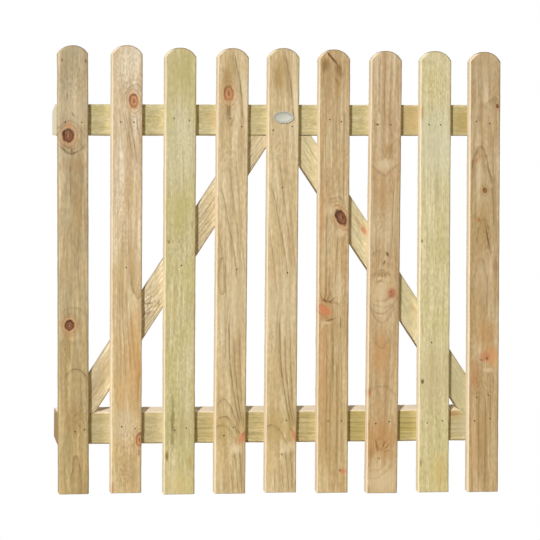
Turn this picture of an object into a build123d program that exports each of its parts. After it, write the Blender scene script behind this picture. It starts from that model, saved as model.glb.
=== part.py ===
"""Round-topped wooden picket gate leaf: a row of pickets nailed over two rails and a pair of braces.

All sizes are in millimetres. The pickets face -Y, +X runs from the hinge end to the latch end and +Z is up.
The origin lies on the back face of the bottom rail, at the middle of the seat for the lower hinge.
"""

import os
from math import asin, atan2, cos, hypot, sin

from build123d import *

# Whole leaf
gate_width = 915.0
gate_height = 900.0

# Pickets: planed boards with a segmental crown
picket_count = 9
picket_width = 63.0
picket_thickness = 22.0
crown_radius = 36.0
shoulder_radius = 4.0
picket_arris = 2.0

# Rails: one section for both, weathered on the back of its outer edge
rail_height = 63.0
rail_depth = 45.0
rail_arris = 3.0
weathering_run = 36.0
weathering_drop = 14.0
bottom_rail_rise = 102.0
top_rail_rise = 724.0

# Braces: boards flush with the rails' fronts, rising from the ends of the bottom rail to meet under the
# top rail, a little to the hinge side of its middle
brace_width = 53.0
brace_thickness = 22.0
brace_arris = 3.0
brace_foot_inset = 15.0
brace_head_gap = 14.0
brace_apex_offset = -7.0

# Seat of the lower hinge, measured from the hinge end of the rail
hinge_seat_inset = 80.0

# Places along the leaf, worked out from the sizes above
hinge_end = -hinge_seat_inset
latch_end = hinge_end + gate_width
middle = (hinge_end + latch_end) / 2
rail_front = -rail_depth
picket_pitch = (gate_width - picket_width) / (picket_count - 1)
first_picket = hinge_end + picket_width / 2

# Levels: the hinge seat is halfway up the flat back of the bottom rail
foot_level = -(bottom_rail_rise + (rail_height + weathering_drop) / 2)
crown_level = foot_level + gate_height
bottom_rail_underside = foot_level + bottom_rail_rise
bottom_rail_top = bottom_rail_underside + rail_height
top_rail_underside = foot_level + top_rail_rise

os.makedirs("parts", exist_ok=True)


def save(piece: Part, name: str) -> None:
    """Labels a finished piece and writes it to its own file."""
    piece.label = name
    export_step(piece, f"parts/{name}.step")


# Picket: outline drawn on its back face, then brought forward by its thickness
with BuildPart() as picket:
    with BuildSketch(Plane.XZ.offset(-rail_front)):
        with BuildLine():
            half = picket_width / 2
            shoulder = crown_level - crown_radius + (crown_radius**2 - half**2) ** 0.5
            left_side = Line((-half, shoulder), (-half, foot_level))
            foot = Line(left_side @ 1, (half, foot_level))
            right_side = Line(foot @ 1, (half, shoulder))
            ThreePointArc(right_side @ 1, (0, crown_level), left_side @ 0)
        make_face()
    extrude(amount=picket_thickness)
    shoulders = picket.edges().filter_by(Axis.Y).group_by(Axis.Z)[-1]
    fillet(shoulders, shoulder_radius)
    faces = picket.faces().filter_by(Axis.Y)
    feet = picket.edges().group_by(Axis.Z)[0]
    fillet(faces.edges() - feet, picket_arris)

# The same picket stands at equal pitch along the rails
for number in range(picket_count):
    with BuildPart() as standing_picket:
        with Locations((first_picket + number * picket_pitch, 0, 0)):
            add(picket.part)
    save(standing_picket.part, f"picket_{number + 1}")

# Bottom rail: the section is drawn at the hinge end and run through to the latch end
with BuildPart() as bottom_rail:
    with BuildSketch(Plane.YZ.offset(hinge_end)):
        with BuildLine():
            Polyline(
                (rail_front, bottom_rail_top),
                (0, bottom_rail_top),
                (0, bottom_rail_underside + weathering_drop),
                (-weathering_run, bottom_rail_underside),
                (rail_front, bottom_rail_underside),
                close=True,
            )
        make_face()
        fillet(vertices(), rail_arris)
    extrude(amount=gate_width)
save(bottom_rail.part, "bottom_rail")

# Top rail: the same section turned over, so that its weathered edge is uppermost
with BuildPart() as top_rail:
    turn_over = Plane.XY.offset((bottom_rail_top + top_rail_underside) / 2)
    mirror(bottom_rail.part, about=turn_over)
save(top_rail.part, "top_rail")

# Braces: a bar of the stated width laid corner to corner in the bay between the rails, then trimmed level
bay_height = top_rail_underside - bottom_rail_top
apex = middle + brace_apex_offset
for name, side in (("left_brace", -1), ("right_brace", 1)):
    bay_width = gate_width / 2 - brace_foot_inset - brace_head_gap / 2 - side * brace_apex_offset
    diagonal = hypot(bay_width, bay_height)
    slope = atan2(bay_height, bay_width) + asin(brace_width / diagonal)
    along = Vector(-side * cos(slope), 0, sin(slope))
    bay_centre = Vector(
        apex + side * (brace_head_gap + bay_width) / 2,
        rail_front + brace_thickness / 2,
        bottom_rail_top + bay_height / 2,
    )
    with BuildPart() as brace:
        with BuildSketch(Plane(origin=bay_centre, x_dir=(0, 1, 0), z_dir=along)):
            RectangleRounded(brace_thickness, brace_width, brace_arris)
        extrude(amount=diagonal, both=True)
        split(bisect_by=Plane.XY.offset(bottom_rail_top), keep=Keep.TOP)
        split(bisect_by=Plane.XY.offset(top_rail_underside), keep=Keep.BOTTOM)
    save(brace.part, name)
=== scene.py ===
"""Looks of a low garden gate: round-topped pickets nailed over two rails and a pair of sloping braces.

Each board is rebuilt a little worn over its plain solid, and cut from its own imagined log, so that rings,
knots and stains run through the wood and show on every face. Lengths are in metres, and in millimetres
where a name ends in _mm or a class says so.
"""

import logging
import math
from dataclasses import dataclass, field, replace
from enum import Enum
from typing import Iterable, Optional, Sequence, Union

import bmesh
import bpy
from mathutils import Matrix, Vector, noise


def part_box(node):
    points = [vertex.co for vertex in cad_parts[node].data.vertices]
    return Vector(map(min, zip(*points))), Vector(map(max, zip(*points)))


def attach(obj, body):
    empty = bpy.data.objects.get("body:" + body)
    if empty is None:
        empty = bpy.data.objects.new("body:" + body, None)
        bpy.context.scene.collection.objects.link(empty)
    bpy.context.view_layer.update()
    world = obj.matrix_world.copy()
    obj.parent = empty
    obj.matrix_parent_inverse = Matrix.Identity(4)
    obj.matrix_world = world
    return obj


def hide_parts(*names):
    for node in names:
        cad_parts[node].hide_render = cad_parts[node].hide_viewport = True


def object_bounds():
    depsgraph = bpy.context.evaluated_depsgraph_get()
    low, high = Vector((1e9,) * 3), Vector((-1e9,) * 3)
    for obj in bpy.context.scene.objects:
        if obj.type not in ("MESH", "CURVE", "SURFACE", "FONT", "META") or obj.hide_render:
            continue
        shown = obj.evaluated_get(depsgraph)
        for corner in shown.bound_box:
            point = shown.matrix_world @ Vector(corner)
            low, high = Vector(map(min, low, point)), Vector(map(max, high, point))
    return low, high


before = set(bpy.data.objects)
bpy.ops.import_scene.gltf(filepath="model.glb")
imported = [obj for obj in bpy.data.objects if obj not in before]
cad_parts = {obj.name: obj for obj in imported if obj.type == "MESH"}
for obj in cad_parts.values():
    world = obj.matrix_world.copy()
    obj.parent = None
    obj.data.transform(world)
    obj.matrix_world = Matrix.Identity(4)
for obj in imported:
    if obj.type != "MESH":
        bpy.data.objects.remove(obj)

CAD_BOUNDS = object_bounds()
BODY = "root"
MM = 0.001
PICKET_LENGTH_MM = 900.0
CROWN_RADIUS_MM = 36.0
NO_CROWN_MM = 1.0e5
BRACE_WIDTH_MM = 53.0
PLATE_PICKET = 5
PLATE_PLACE_MM = (-1.0, 0.0, 760.0)
LONG_SHARE = 0.9
ARRIS_ANGLE = 0.25
WEAR_SEED = 7

log = logging.getLogger("picket_gate")

Colour = tuple[float, float, float, float]
Edge = bmesh.types.BMEdge
Socket = bpy.types.NodeSocket
Outputs = bpy.types.NodeOutputs
Value = Union[float, Sequence[float], Socket]


def srgb(red: int, green: int, blue: int) -> Colour:
    """Turns a display colour of 0 to 255 into the linear colour that shaders take.

    Args:
        red: Red of the display colour.
        green: Green of the display colour.
        blue: Blue of the display colour.

    Returns:
        The linear colour with full alpha.
    """

    def linear(channel: int) -> float:
        """Turns one channel."""
        share = channel / 255.0
        return share / 12.92 if share <= 0.04045 else ((share + 0.055) / 1.055) ** 2.4

    return (linear(red), linear(green), linear(blue), 1.0)


WHITE = (1.0, 1.0, 1.0, 1.0)
# Paler paint for side faces and left borders: painted highlight where the light from the left brightens
# them.
SIDE_HIGHLIGHT = srgb(250, 235, 209)
# Darker paint for the right arris and the crown's rim: painted shade where they turn away from the light.
ARRIS_SHADE = srgb(122, 102, 62)
END_GRAIN = srgb(128, 106, 66)
FOOT_CAST = (0.94, 0.91, 0.76, 1.0)
CROWN_CAST = (1.0, 1.04, 1.19, 1.0)


class KnotKind(Enum):
    """How a knot sits in its board."""

    DEAD = "dark core in a bark ring"
    LIVE = "red-brown and grown in"
    FAINT = "warm patch with no clear border"


class Surface(Enum):
    """How a board was finished at the mill."""

    PLANED = "planed"
    SAWN = "left from the saw"


class Slot(Enum):
    """Finishes named in the record."""

    PICKET = "picket_wood"
    RAIL = "rail_wood"
    BRACE = "brace_wood"


@dataclass(frozen=True)
class Knot:
    """A knot that runs through a board, in millimetres across from the middle and along from the foot."""

    across: float
    along: float
    radius: float
    stretch: float
    turn: float
    kind: KnotKind
    lift: float


@dataclass(frozen=True)
class Stain:
    """A soft patch of another colour, sized in millimetres."""

    across: float
    along: float
    half_width: float
    half_length: float
    colour: Colour
    strength: float
    turn: float = 0.0


@dataclass(frozen=True)
class Arch:
    """A ring line that closes on the face, drawn as a bow with its apex at the given place, in millimetres.

    A positive drop makes the legs run down from the apex, and a negative one makes them run up.
    """

    across: float
    along: float
    half_width: float
    drop: float
    line: float
    strength: float
    left: float = 1.4
    right: float = 1.4
    fill: float = 0.0


@dataclass(frozen=True)
class Line:
    """A dark line of the grain that runs up the face, in millimetres.

    It passes the given place halfway, leaves it by the slant toward its upper end, and bows sideways at both
    ends. The fade is the width of the shading on its right side, or on its left side where negative.
    """

    across: float
    along: float
    half_length: float
    slant: float
    bow: float
    width: float
    strength: float
    fade: float


@dataclass(frozen=True)
class Rough:
    """A patch of torn fibres, sized in millimetres."""

    across: float
    along: float
    half_width: float
    half_length: float
    strength: float


@dataclass(frozen=True)
class Setting:
    """How far a board is out of true, in millimetres: along the leaf, foot to crown, up, and in width."""

    shift: float
    lean: float
    rise: float
    width: float


@dataclass(frozen=True)
class Log:
    """Where a board lay in its log: the pith's place halfway up, its lean and the rings, in millimetres."""

    pith_across: float
    pith_depth: float
    lean_across: float
    lean_depth: float
    spacing: float
    wander: float
    contrast: float


@dataclass(frozen=True)
class Timber:
    """Everything that makes one board look as it does."""

    light: Colour
    dark: Colour
    tint: Colour
    cut: Log
    seed: float
    tint_amount: float
    knots: tuple[Knot, ...] = ()
    stains: tuple[Stain, ...] = ()
    arches: tuple[Arch, ...] = ()
    lines: tuple[Line, ...] = ()
    rough: tuple[Rough, ...] = ()
    cast: float = 0.0
    # How strongly the sides are painted paler, and the width of the pale left border: painted highlight.
    side_highlight: float = 0.6
    pale_band: float = 2.4
    end: Colour = END_GRAIN
    surface: Surface = Surface.PLANED


class Graph:
    """Adds shader nodes to one tree and links them."""

    def __init__(self, tree: bpy.types.NodeTree) -> None:
        """Takes the tree to fill."""
        self.tree = tree

    def node(self, kind: str, **settings: object) -> bpy.types.Node:
        """Adds a node.

        Args:
            kind: Type of the node without its ShaderNode prefix.
            **settings: Properties to set on it.

        Returns:
            The new node.
        """
        made = self.tree.nodes.new(f"ShaderNode{kind}")
        for name, value in settings.items():
            setattr(made, name, value)
        return made

    def feed(self, socket: Socket, value: Value) -> None:
        """Links a socket to an input, or sets the input's own value."""
        if isinstance(value, Socket):
            self.tree.links.new(value, socket)
        else:
            socket.default_value = value

    def step(self, kind: str, values: Sequence[Value], **settings: object) -> Outputs:
        """Adds a node and feeds its inputs in order.

        Args:
            kind: Type of the node without its ShaderNode prefix.
            values: What its first inputs take.
            **settings: Properties to set on it.

        Returns:
            The node's outputs.
        """
        made = self.node(kind, **settings)
        for socket, value in zip(made.inputs, values):
            self.feed(socket, value)
        return made.outputs

    def math(self, operation: str, *values: Value) -> Socket:
        """Does one step of arithmetic."""
        return self.step("Math", values, operation=operation)[0]

    def vector(self, operation: str, *values: Value) -> Socket:
        """Does one step of vector arithmetic."""
        return self.step("VectorMath", values, operation=operation)[0]

    def times(self, first: Value, second: Value) -> Socket:
        """Multiplies two values."""
        return self.math("MULTIPLY", first, second)

    def minus(self, first: Value, second: Value) -> Socket:
        """Takes the second value from the first."""
        return self.math("SUBTRACT", first, second)

    def over(self, first: Value, second: Value) -> Socket:
        """Divides the first value by the second."""
        return self.math("DIVIDE", first, second)

    def grow(self, value: Value, factor: Value, start: Value) -> Socket:
        """Adds the product of a value and a factor to a start."""
        return self.math("MULTIPLY_ADD", value, factor, start)

    def total(self, values: Iterable[Value]) -> Value:
        """Adds values up, giving zero for none."""
        result: Value = 0.0
        for number, value in enumerate(values):
            result = value if number == 0 else self.math("ADD", result, value)
        return result

    def length(self, *legs: Value) -> Socket:
        """Gives the length of a line from its legs."""
        return self.math("SQRT", self.total(self.times(leg, leg) for leg in legs))

    def wave(self, value: Value) -> Socket:
        """Gives a sine that runs between 0 and 1."""
        return self.grow(self.math("SINE", value), 0.5, 0.5)

    def split(self, vector: Value) -> tuple[Socket, ...]:
        """Takes a vector apart into x, y and z."""
        return tuple(self.step("SeparateXYZ", (vector,)))

    def join(self, x: Value, y: Value, z: Value) -> Socket:
        """Puts a vector together."""
        return self.step("CombineXYZ", (x, y, z))[0]

    def span(self, value: Value, start: float, end: float, low: float = 0.0, high: float = 1.0) -> Socket:
        """Eases a value from low at start to high at end.

        Args:
            value: The value to read.
            start: Where the easing starts.
            end: Where it ends, which may be below start.
            low: Result at start and before it.
            high: Result at end and after it.

        Returns:
            The eased value.
        """
        if end < start:
            start, end, low, high = end, start, high, low
        limits = (value, start, end, low, high)
        return self.step("MapRange", limits, interpolation_type="SMOOTHSTEP", clamp=True)[0]

    def noise_outputs(self, vector: Value, scale: Sequence[float], detail: float) -> Outputs:
        """Adds smooth noise and gives all its outputs."""
        made = self.node("TexNoise", noise_dimensions="3D")
        self.feed(made.inputs["Vector"], self.vector("MULTIPLY", vector, scale))
        made.inputs["Scale"].default_value = 1.0
        made.inputs["Detail"].default_value = detail
        return made.outputs

    def noise(self, vector: Value, scale: Sequence[float], detail: float) -> Socket:
        """Reads smooth noise.

        Args:
            vector: Where to read it.
            scale: Scale of the noise along each axis.
            detail: Number of finer layers.

        Returns:
            The noise, about 0.5.
        """
        return self.noise_outputs(vector, scale, detail)["Fac"]

    def drift(self, vector: Value, scale: Sequence[float], detail: float) -> Socket:
        """Reads smooth noise about zero."""
        return self.minus(self.noise(vector, scale, detail), 0.5)

    def stray(self, vector: Value, scale: Sequence[float], detail: float) -> tuple[Socket, ...]:
        """Reads three channels of smooth noise, each about zero."""
        colour = self.noise_outputs(vector, scale, detail)["Color"]
        return self.split(self.vector("SUBTRACT", colour, (0.5, 0.5, 0.5)))

    def mix(self, share: Value, first: Value, second: Value, blend: str = "MIX") -> Socket:
        """Mixes two colours.

        Args:
            share: How much of the second colour shows.
            first: Colour at 0.
            second: Colour at 1.
            blend: Way of mixing.

        Returns:
            The mixed colour.
        """
        made = self.node("Mix", data_type="RGBA", blend_type=blend)
        self.feed(made.inputs[0], share)
        self.feed(made.inputs[6], first)
        self.feed(made.inputs[7], second)
        return made.outputs[2]

    def paint(self, colour: Value, mask: Value, strength: float, paint: Value) -> Socket:
        """Lays a paint over a colour through a mask.

        Args:
            colour: Colour so far.
            mask: Where the paint goes.
            strength: How well it covers.
            paint: Its colour.

        Returns:
            The painted colour.
        """
        return self.mix(self.times(mask, strength), colour, paint)

    def dim(self, colour: Value, value: Value) -> Socket:
        """Multiplies all channels of a colour by a value."""
        return self.mix(1.0, colour, self.join(value, value, value), "MULTIPLY")


class Effect:
    """A shared look kept as a shader node group with named inputs and outputs."""

    title: str = ""
    inputs: tuple[tuple[str, str, float], ...] = ()
    outputs: tuple[str, ...] = ()

    def __init__(self) -> None:
        """Makes the node group once."""
        self.tree = bpy.data.node_groups.new(self.title, "ShaderNodeTree")
        self.tree.interface.new_socket("Vector", in_out="INPUT", socket_type="NodeSocketVector")
        for name, words, default in self.inputs:
            socket = self.tree.interface.new_socket(name, in_out="INPUT", socket_type="NodeSocketFloat")
            socket.default_value = default
            socket.description = words
        for name in self.outputs:
            self.tree.interface.new_socket(name, in_out="OUTPUT", socket_type="NodeSocketFloat")
        graph = Graph(self.tree)
        source = self.tree.nodes.new("NodeGroupInput").outputs
        sink = self.tree.nodes.new("NodeGroupOutput").inputs
        for name, value in self.wire(graph, source).items():
            graph.feed(sink[name], value)

    def wire(self, graph: Graph, source: Outputs) -> dict[str, Value]:
        """Lays out the effect's nodes and returns a value for each output."""
        raise NotImplementedError

    def use(self, graph: Graph, vector: Value, mark: object, **values: Value) -> Outputs:
        """Places the effect in a material.

        Args:
            graph: The material's tree.
            vector: Board coordinates in millimetres.
            mark: Holds inputs in fields of the same names, with underscores for spaces.
            **values: Inputs that the mark doesn't hold.

        Returns:
            The effect's outputs.
        """
        made = graph.node("Group", node_tree=self.tree, label=self.title)
        graph.feed(made.inputs["Vector"], vector)
        for name, _, default in self.inputs:
            key = name.lower().replace(" ", "_")
            graph.feed(made.inputs[name], values.get(key, getattr(mark, key, default)))
        return made.outputs


SEED = ("Seed", "place in the noise", 0.0)
ACROSS = ("Across", "place across the board, in mm", 0.0)
ALONG = ("Along", "place along the board, in mm", 0.0)
TURN = ("Turn", "turn of its long axis, in radians", 0.0)


def moved_by_seed(graph: Graph, source: Outputs, step: float) -> Socket:
    """Moves the board's coordinates along by its seed, so that no two boards share their noise."""
    return graph.vector("ADD", source["Vector"], graph.join(0.0, 0.0, graph.times(source["Seed"], step)))


def own_axes(graph: Graph, source: Outputs) -> tuple[Socket, Socket]:
    """Gives the distances from a mark's middle along its own turned axes."""
    x, _, z = graph.split(source["Vector"])
    right = graph.minus(x, source["Across"])
    up = graph.minus(z, source["Along"])
    cosine = graph.math("COSINE", source["Turn"])
    sine = graph.math("SINE", source["Turn"])
    wide = graph.grow(right, cosine, graph.times(up, sine))
    return wide, graph.minus(graph.times(up, cosine), graph.times(right, sine))


class GrowthRings(Effect):
    """Year rings of a log, with a pale early part and a dark late line in each."""

    title = "Growth rings"
    inputs = (
        ("Pith Across", "place of the pith across the board, in mm", 0.0),
        ("Pith Depth", "place of the pith behind the face, in mm", 50.0),
        ("Lean Across", "sideways lean of the pith along the board", 0.0),
        ("Lean Depth", "lean of the pith away from the face", 0.0),
        ("Spacing", "mean width of a ring, in mm", 6.0),
        ("Wander", "how far rings stray, in mm", 10.0),
        ("Bulge", "swelling of the rings round knots, in mm", 0.0),
        SEED,
    )
    outputs = ("Late Wood",)

    def wire(self, graph: Graph, source: Outputs) -> dict[str, Value]:
        """Measures the distance from a leaning, wandering pith and cuts it into uneven rings."""
        moved = moved_by_seed(graph, source, 997.0)
        stray_x, stray_y, _ = graph.stray(moved, (0.008, 0.008, 0.0034), 1.0)
        x, y, z = graph.split(source["Vector"])
        up = graph.minus(z, PICKET_LENGTH_MM / 2)
        legs = []
        for place, side, stray in ((x, "Across", stray_x), (y, "Depth", stray_y)):
            pith = graph.grow(up, source[f"Lean {side}"], source[f"Pith {side}"])
            legs.append(graph.grow(stray, source["Wander"], graph.minus(place, pith)))
        ripple = graph.times(graph.drift(moved, (0.11, 0.11, 0.012), 2.0), 3.2)
        radius = graph.total((graph.length(*legs), source["Bulge"], ripple))
        turns = graph.over(radius, source["Spacing"])
        uneven = graph.noise(graph.join(turns, source["Seed"], 0.0), (0.45, 3.1, 1.0), 1.0)
        turns = graph.grow(uneven, 2.2, turns)
        part = graph.math("FRACT", turns)
        line = graph.times(graph.span(part, 0.1, 0.86), graph.span(part, 1.0, 0.88))
        year = graph.join(graph.math("FLOOR", turns), source["Seed"], 0.0)
        strength = graph.span(graph.noise(year, (0.73, 7.7, 1.0), 0.0), 0.3, 0.7, 0.35, 1.0)
        return {"Late Wood": graph.times(line, strength)}


class Fibres(Effect):
    """Fine fibres, longer streaks and slow mottling along a board."""

    title = "Wood fibres"
    inputs = (SEED,)
    outputs = ("Fine", "Streak", "Mottle", "Fleck", "Speck", "Tick")

    def wire(self, graph: Graph, source: Outputs) -> dict[str, Value]:
        """Reads noise drawn out along the board at several widths."""
        moved = moved_by_seed(graph, source, 613.0)
        fleck = graph.noise(moved, (0.55, 0.55, 0.16), 3.0)
        return {
            "Fine": graph.noise(moved, (0.45, 0.45, 0.016), 3.0),
            "Streak": graph.noise(moved, (0.095, 0.095, 0.0045), 3.0),
            "Mottle": graph.noise(moved, (0.03, 0.03, 0.011), 3.0),
            "Fleck": graph.span(fleck, 0.6, 0.76),
            "Speck": graph.noise(moved, (0.22, 0.22, 0.08), 4.0),
            "Tick": graph.noise(moved, (0.3, 0.3, 0.13), 3.0),
        }


class KnotEffect(Effect):
    """A knot with a core, a border, its own rings and a warm halo, and the swelling of rings round it."""

    title = "Knot"
    inputs = (
        ACROSS,
        ALONG,
        ("Radius", "radius across the board, in mm", 8.0),
        ("Stretch", "length over width", 1.2),
        TURN,
        ("Lift", "swelling of the rings, in mm", 16.0),
    )
    outputs = ("Core", "Border", "Rings", "Heart", "Halo", "Waves", "Bulge")

    def wire(self, graph: Graph, source: Outputs) -> dict[str, Value]:
        """Measures the distance from the knot's axis in its own radii, with an uneven outline."""
        wide, tall = (graph.over(leg, source["Radius"]) for leg in own_axes(graph, source))
        tall = graph.over(tall, source["Stretch"])
        uneven = graph.drift(source["Vector"], (0.16, 0.05, 0.13), 3.0)
        reach = graph.grow(uneven, 0.7, graph.length(wide, tall))
        wide_square, tall_square = graph.times(wide, wide), graph.times(tall, tall)
        spread = graph.grow(wide_square, 0.36, graph.times(tall_square, 0.14))
        swelling = graph.math("EXPONENT", graph.times(spread, -1.0))
        halo = graph.span(reach, 2.6, 0.9)
        band = graph.times(graph.span(reach, 0.55, 0.95), graph.span(reach, 1.22, 1.0))
        # The border is painted darker on its upper left than its lower right: painted shade of the sunk ring
        # under light from the upper left.
        upper = graph.span(graph.grow(wide, -0.5, tall), -0.9, 0.9, 0.35, 1.0)
        heart = graph.math("SQRT", graph.grow(wide_square, 5.0, tall_square))
        ripples = graph.math("POWER", graph.wave(graph.times(reach, 12.5)), 2.5)
        around = graph.times(graph.span(reach, 1.05, 1.35), graph.span(reach, 3.0, 1.5))
        return {
            "Core": graph.span(reach, 1.06, 0.9),
            "Border": graph.times(band, upper),
            "Rings": graph.wave(graph.times(reach, 15.0)),
            "Heart": graph.span(graph.grow(uneven, 0.5, heart), 0.55, 0.2),
            "Halo": graph.times(halo, halo),
            "Waves": graph.times(ripples, around),
            "Bulge": graph.times(swelling, source["Lift"]),
        }


class SoftPatch(Effect):
    """A soft-edged patch, broken up along the fibres."""

    title = "Soft patch"
    inputs = (
        ACROSS,
        ALONG,
        ("Half Width", "half its width, in mm", 10.0),
        ("Half Length", "half its length, in mm", 30.0),
        TURN,
    )
    outputs = ("Mask",)

    def wire(self, graph: Graph, source: Outputs) -> dict[str, Value]:
        """Fades an ellipse out and lets fibres break its border."""
        wide, tall = own_axes(graph, source)
        legs = (graph.over(wide, source["Half Width"]), graph.over(tall, source["Half Length"]))
        uneven = graph.drift(source["Vector"], (0.35, 0.35, 0.06), 3.0)
        return {"Mask": graph.span(graph.grow(uneven, 1.5, graph.length(*legs)), 1.15, 0.25)}


class ArchLine(Effect):
    """A bowed ring line and the wood that it encloses."""

    title = "Arch line"
    inputs = (
        ("Across", "place of the apex across the board, in mm", 0.0),
        ("Along", "place of the apex along the board, in mm", 0.0),
        ("Half Width", "distance from the apex at which the drop is reached, in mm", 15.0),
        ("Drop", "fall of the legs, in mm", 40.0),
        ("Line", "half the width of the line, in mm", 1.6),
        ("Left", "length of the left leg, in half widths", 1.4),
        ("Right", "length of the right leg, in half widths", 1.4),
    )
    outputs = ("Mask", "Inside")

    def wire(self, graph: Graph, source: Outputs) -> dict[str, Value]:
        """Measures the distance from a bow and fades its legs out."""
        x, _, z = graph.split(source["Vector"])
        stray_x, _, stray_z = graph.stray(source["Vector"], (0.05, 0.05, 0.03), 3.0)
        right = graph.minus(graph.grow(stray_x, 11.0, x), source["Across"])
        part = graph.over(right, source["Half Width"])
        up = graph.minus(graph.grow(stray_z, 14.0, z), source["Along"])
        past = graph.grow(graph.times(part, part), source["Drop"], up)
        slope = graph.over(graph.times(graph.times(part, source["Drop"]), 2.0), source["Half Width"])
        away = graph.over(past, graph.math("SQRT", graph.grow(slope, slope, 1.0)))
        line = graph.span(graph.over(graph.math("ABSOLUTE", away), source["Line"]), 1.5, 0.5)
        left_end = graph.span(graph.math("ADD", part, source["Left"]), 0.0, 0.4)
        ends = graph.times(left_end, graph.span(graph.minus(source["Right"], part), 0.0, 0.4))
        patchy = graph.span(graph.noise(source["Vector"], (0.07, 0.07, 0.05), 2.0), 0.32, 0.6, 0.25, 1.0)
        enclosed = graph.times(graph.math("SIGN", source["Drop"]), away)
        shade = graph.times(graph.span(enclosed, -9.0, 0.0, 0.0, 0.35), graph.span(enclosed, 0.6, 0.0))
        inside = graph.times(graph.span(enclosed, 0.5, -2.5), graph.span(enclosed, -34.0, -6.0))
        return {
            "Mask": graph.times(graph.math("MAXIMUM", graph.times(line, patchy), shade), ends),
            "Inside": graph.times(ends, inside),
        }


class GrainLine(Effect):
    """A dark line of the grain, sharp on one side and shaded off on the other."""

    title = "Grain line"
    inputs = (
        ("Across", "place of its middle across the board, in mm", 0.0),
        ("Along", "place of its middle along the board, in mm", 450.0),
        ("Half Length", "half its length, in mm", 100.0),
        ("Slant", "how far its upper end lies to the right, in mm", 0.0),
        ("Bow", "how far both ends lie to the right of a straight line, in mm", 0.0),
        ("Width", "half its width, in mm", 1.3),
        ("Fade", "width of its shaded side, in mm", 7.0),
    )
    outputs = ("Mask",)

    def wire(self, graph: Graph, source: Outputs) -> dict[str, Value]:
        """Measures the sideways distance from a bowed path and fades its ends out."""
        x, _, z = graph.split(source["Vector"])
        stray = graph.drift(source["Vector"], (0.05, 0.05, 0.014), 3.0)
        part = graph.over(graph.minus(z, source["Along"]), source["Half Length"])
        path = graph.grow(part, source["Slant"], source["Across"])
        path = graph.grow(graph.times(part, part), source["Bow"], path)
        away = graph.minus(graph.grow(stray, 6.0, x), path)
        line = graph.span(graph.over(graph.math("ABSOLUTE", away), source["Width"]), 1.5, 0.5)
        patchy = graph.span(graph.noise(source["Vector"], (0.15, 0.15, 0.035), 2.0), 0.3, 0.6, 0.45, 1.0)
        beside = graph.over(away, source["Fade"])
        shade = graph.times(graph.span(beside, 1.0, 0.0), graph.span(beside, -0.1, 0.0))
        whole = graph.math("MAXIMUM", graph.times(line, patchy), graph.times(shade, 0.4))
        return {"Mask": graph.times(whole, graph.span(graph.math("ABSOLUTE", part), 1.0, 0.7))}


class SawMarks(Effect):
    """Ridges that a saw leaves along rough timber."""

    title = "Saw marks"
    outputs = ("Ridge", "Groove")

    def wire(self, graph: Graph, source: Outputs) -> dict[str, Value]:
        """Bends evenly spaced ridges that run almost along the board, and breaks them up."""
        x, y, z = graph.split(source["Vector"])
        slant = graph.math("ADD", graph.grow(z, -0.09, x), y)
        bend = graph.noise(source["Vector"], (0.06, 0.06, 0.02), 2.0)
        wave = graph.wave(graph.grow(bend, 9.0, graph.times(slant, 0.95)))
        broken = graph.span(graph.noise(source["Vector"], (0.25, 0.25, 0.09), 3.0), 0.34, 0.6, 0.1, 1.0)
        broken = graph.times(broken, graph.span(z, 130.0, 260.0, 0.2, 1.0))
        return {
            "Ridge": graph.times(wave, broken),
            "Groove": graph.times(graph.span(wave, 0.35, 0.0), broken),
        }


class BoardFaces(Effect):
    """Masks of a board's sides, left border and crown's left shoulder, painted paler as painted highlight,
    and of the painted shade along its right arris and its crown's rim.
    """

    title = "Board faces"
    inputs = (
        ("Half Width", "half the board's width, in mm", 31.5),
        # Pale Band is the width of the painted highlight along the left border.
        ("Pale Band", "width of the pale border on the left, in mm", 2.4),
        ("Crown", "height of the crown's centre, in mm, out of reach where there is none", NO_CROWN_MM),
    )
    outputs = ("Side", "Rim")

    def wire(self, graph: Graph, source: Outputs) -> dict[str, Value]:
        """Compares the distance from both borders and from the crown's circle with the bands' widths."""
        x, _, z = graph.split(source["Vector"])
        loose = graph.times(graph.drift(source["Vector"], (0.25, 0.25, 0.03), 2.0), 1.2)
        left = graph.total((source["Half Width"], x, loose))
        right = graph.math("ADD", graph.minus(source["Half Width"], x), loose)
        up = graph.minus(z, source["Crown"])
        inside = graph.math("ADD", graph.minus(CROWN_RADIUS_MM, graph.length(x, up)), loose)
        # The left border and the crown's left shoulder are painted paler: painted highlight of the light
        # from the left.
        border, shoulder = (
            graph.span(graph.over(distance, source["Pale Band"]), 0.75, 0.35) for distance in (left, inside)
        )
        above = graph.span(up, 6.0, 14.0)
        shoulder = graph.times(shoulder, graph.times(above, graph.span(x, -8.0, -20.0)))
        # The crown's rim, more on its right, and the right arris are painted darker: painted shade.
        crown = graph.times(graph.span(inside, 3.2, 1.4), above)
        crown = graph.times(crown, graph.span(x, -18.0, 0.0, 0.3, 1.0))
        pale = graph.math("MAXIMUM", border, shoulder)
        return {
            "Side": graph.math("MAXIMUM", pale, graph.span(right, 0.9, 0.3)),
            "Rim": graph.math("MAXIMUM", crown, graph.span(right, 3.0, 1.3)),
        }


class EffectShelf:
    """The shared effects, each made once."""

    def __init__(self) -> None:
        """Makes every effect."""
        self.rings = GrowthRings()
        self.fibres = Fibres()
        self.knot = KnotEffect()
        self.patch = SoftPatch()
        self.arch = ArchLine()
        self.line = GrainLine()
        self.saw = SawMarks()
        self.faces = BoardFaces()


@dataclass(frozen=True)
class KnotPaint:
    """Colours of one kind of knot, and how well they cover."""

    core_dark: Colour
    core_light: Colour
    border: Colour
    halo: Colour
    heart: Colour
    wave: Colour
    core_share: float
    border_share: float
    halo_share: float
    heart_share: float
    wave_share: float


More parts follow.
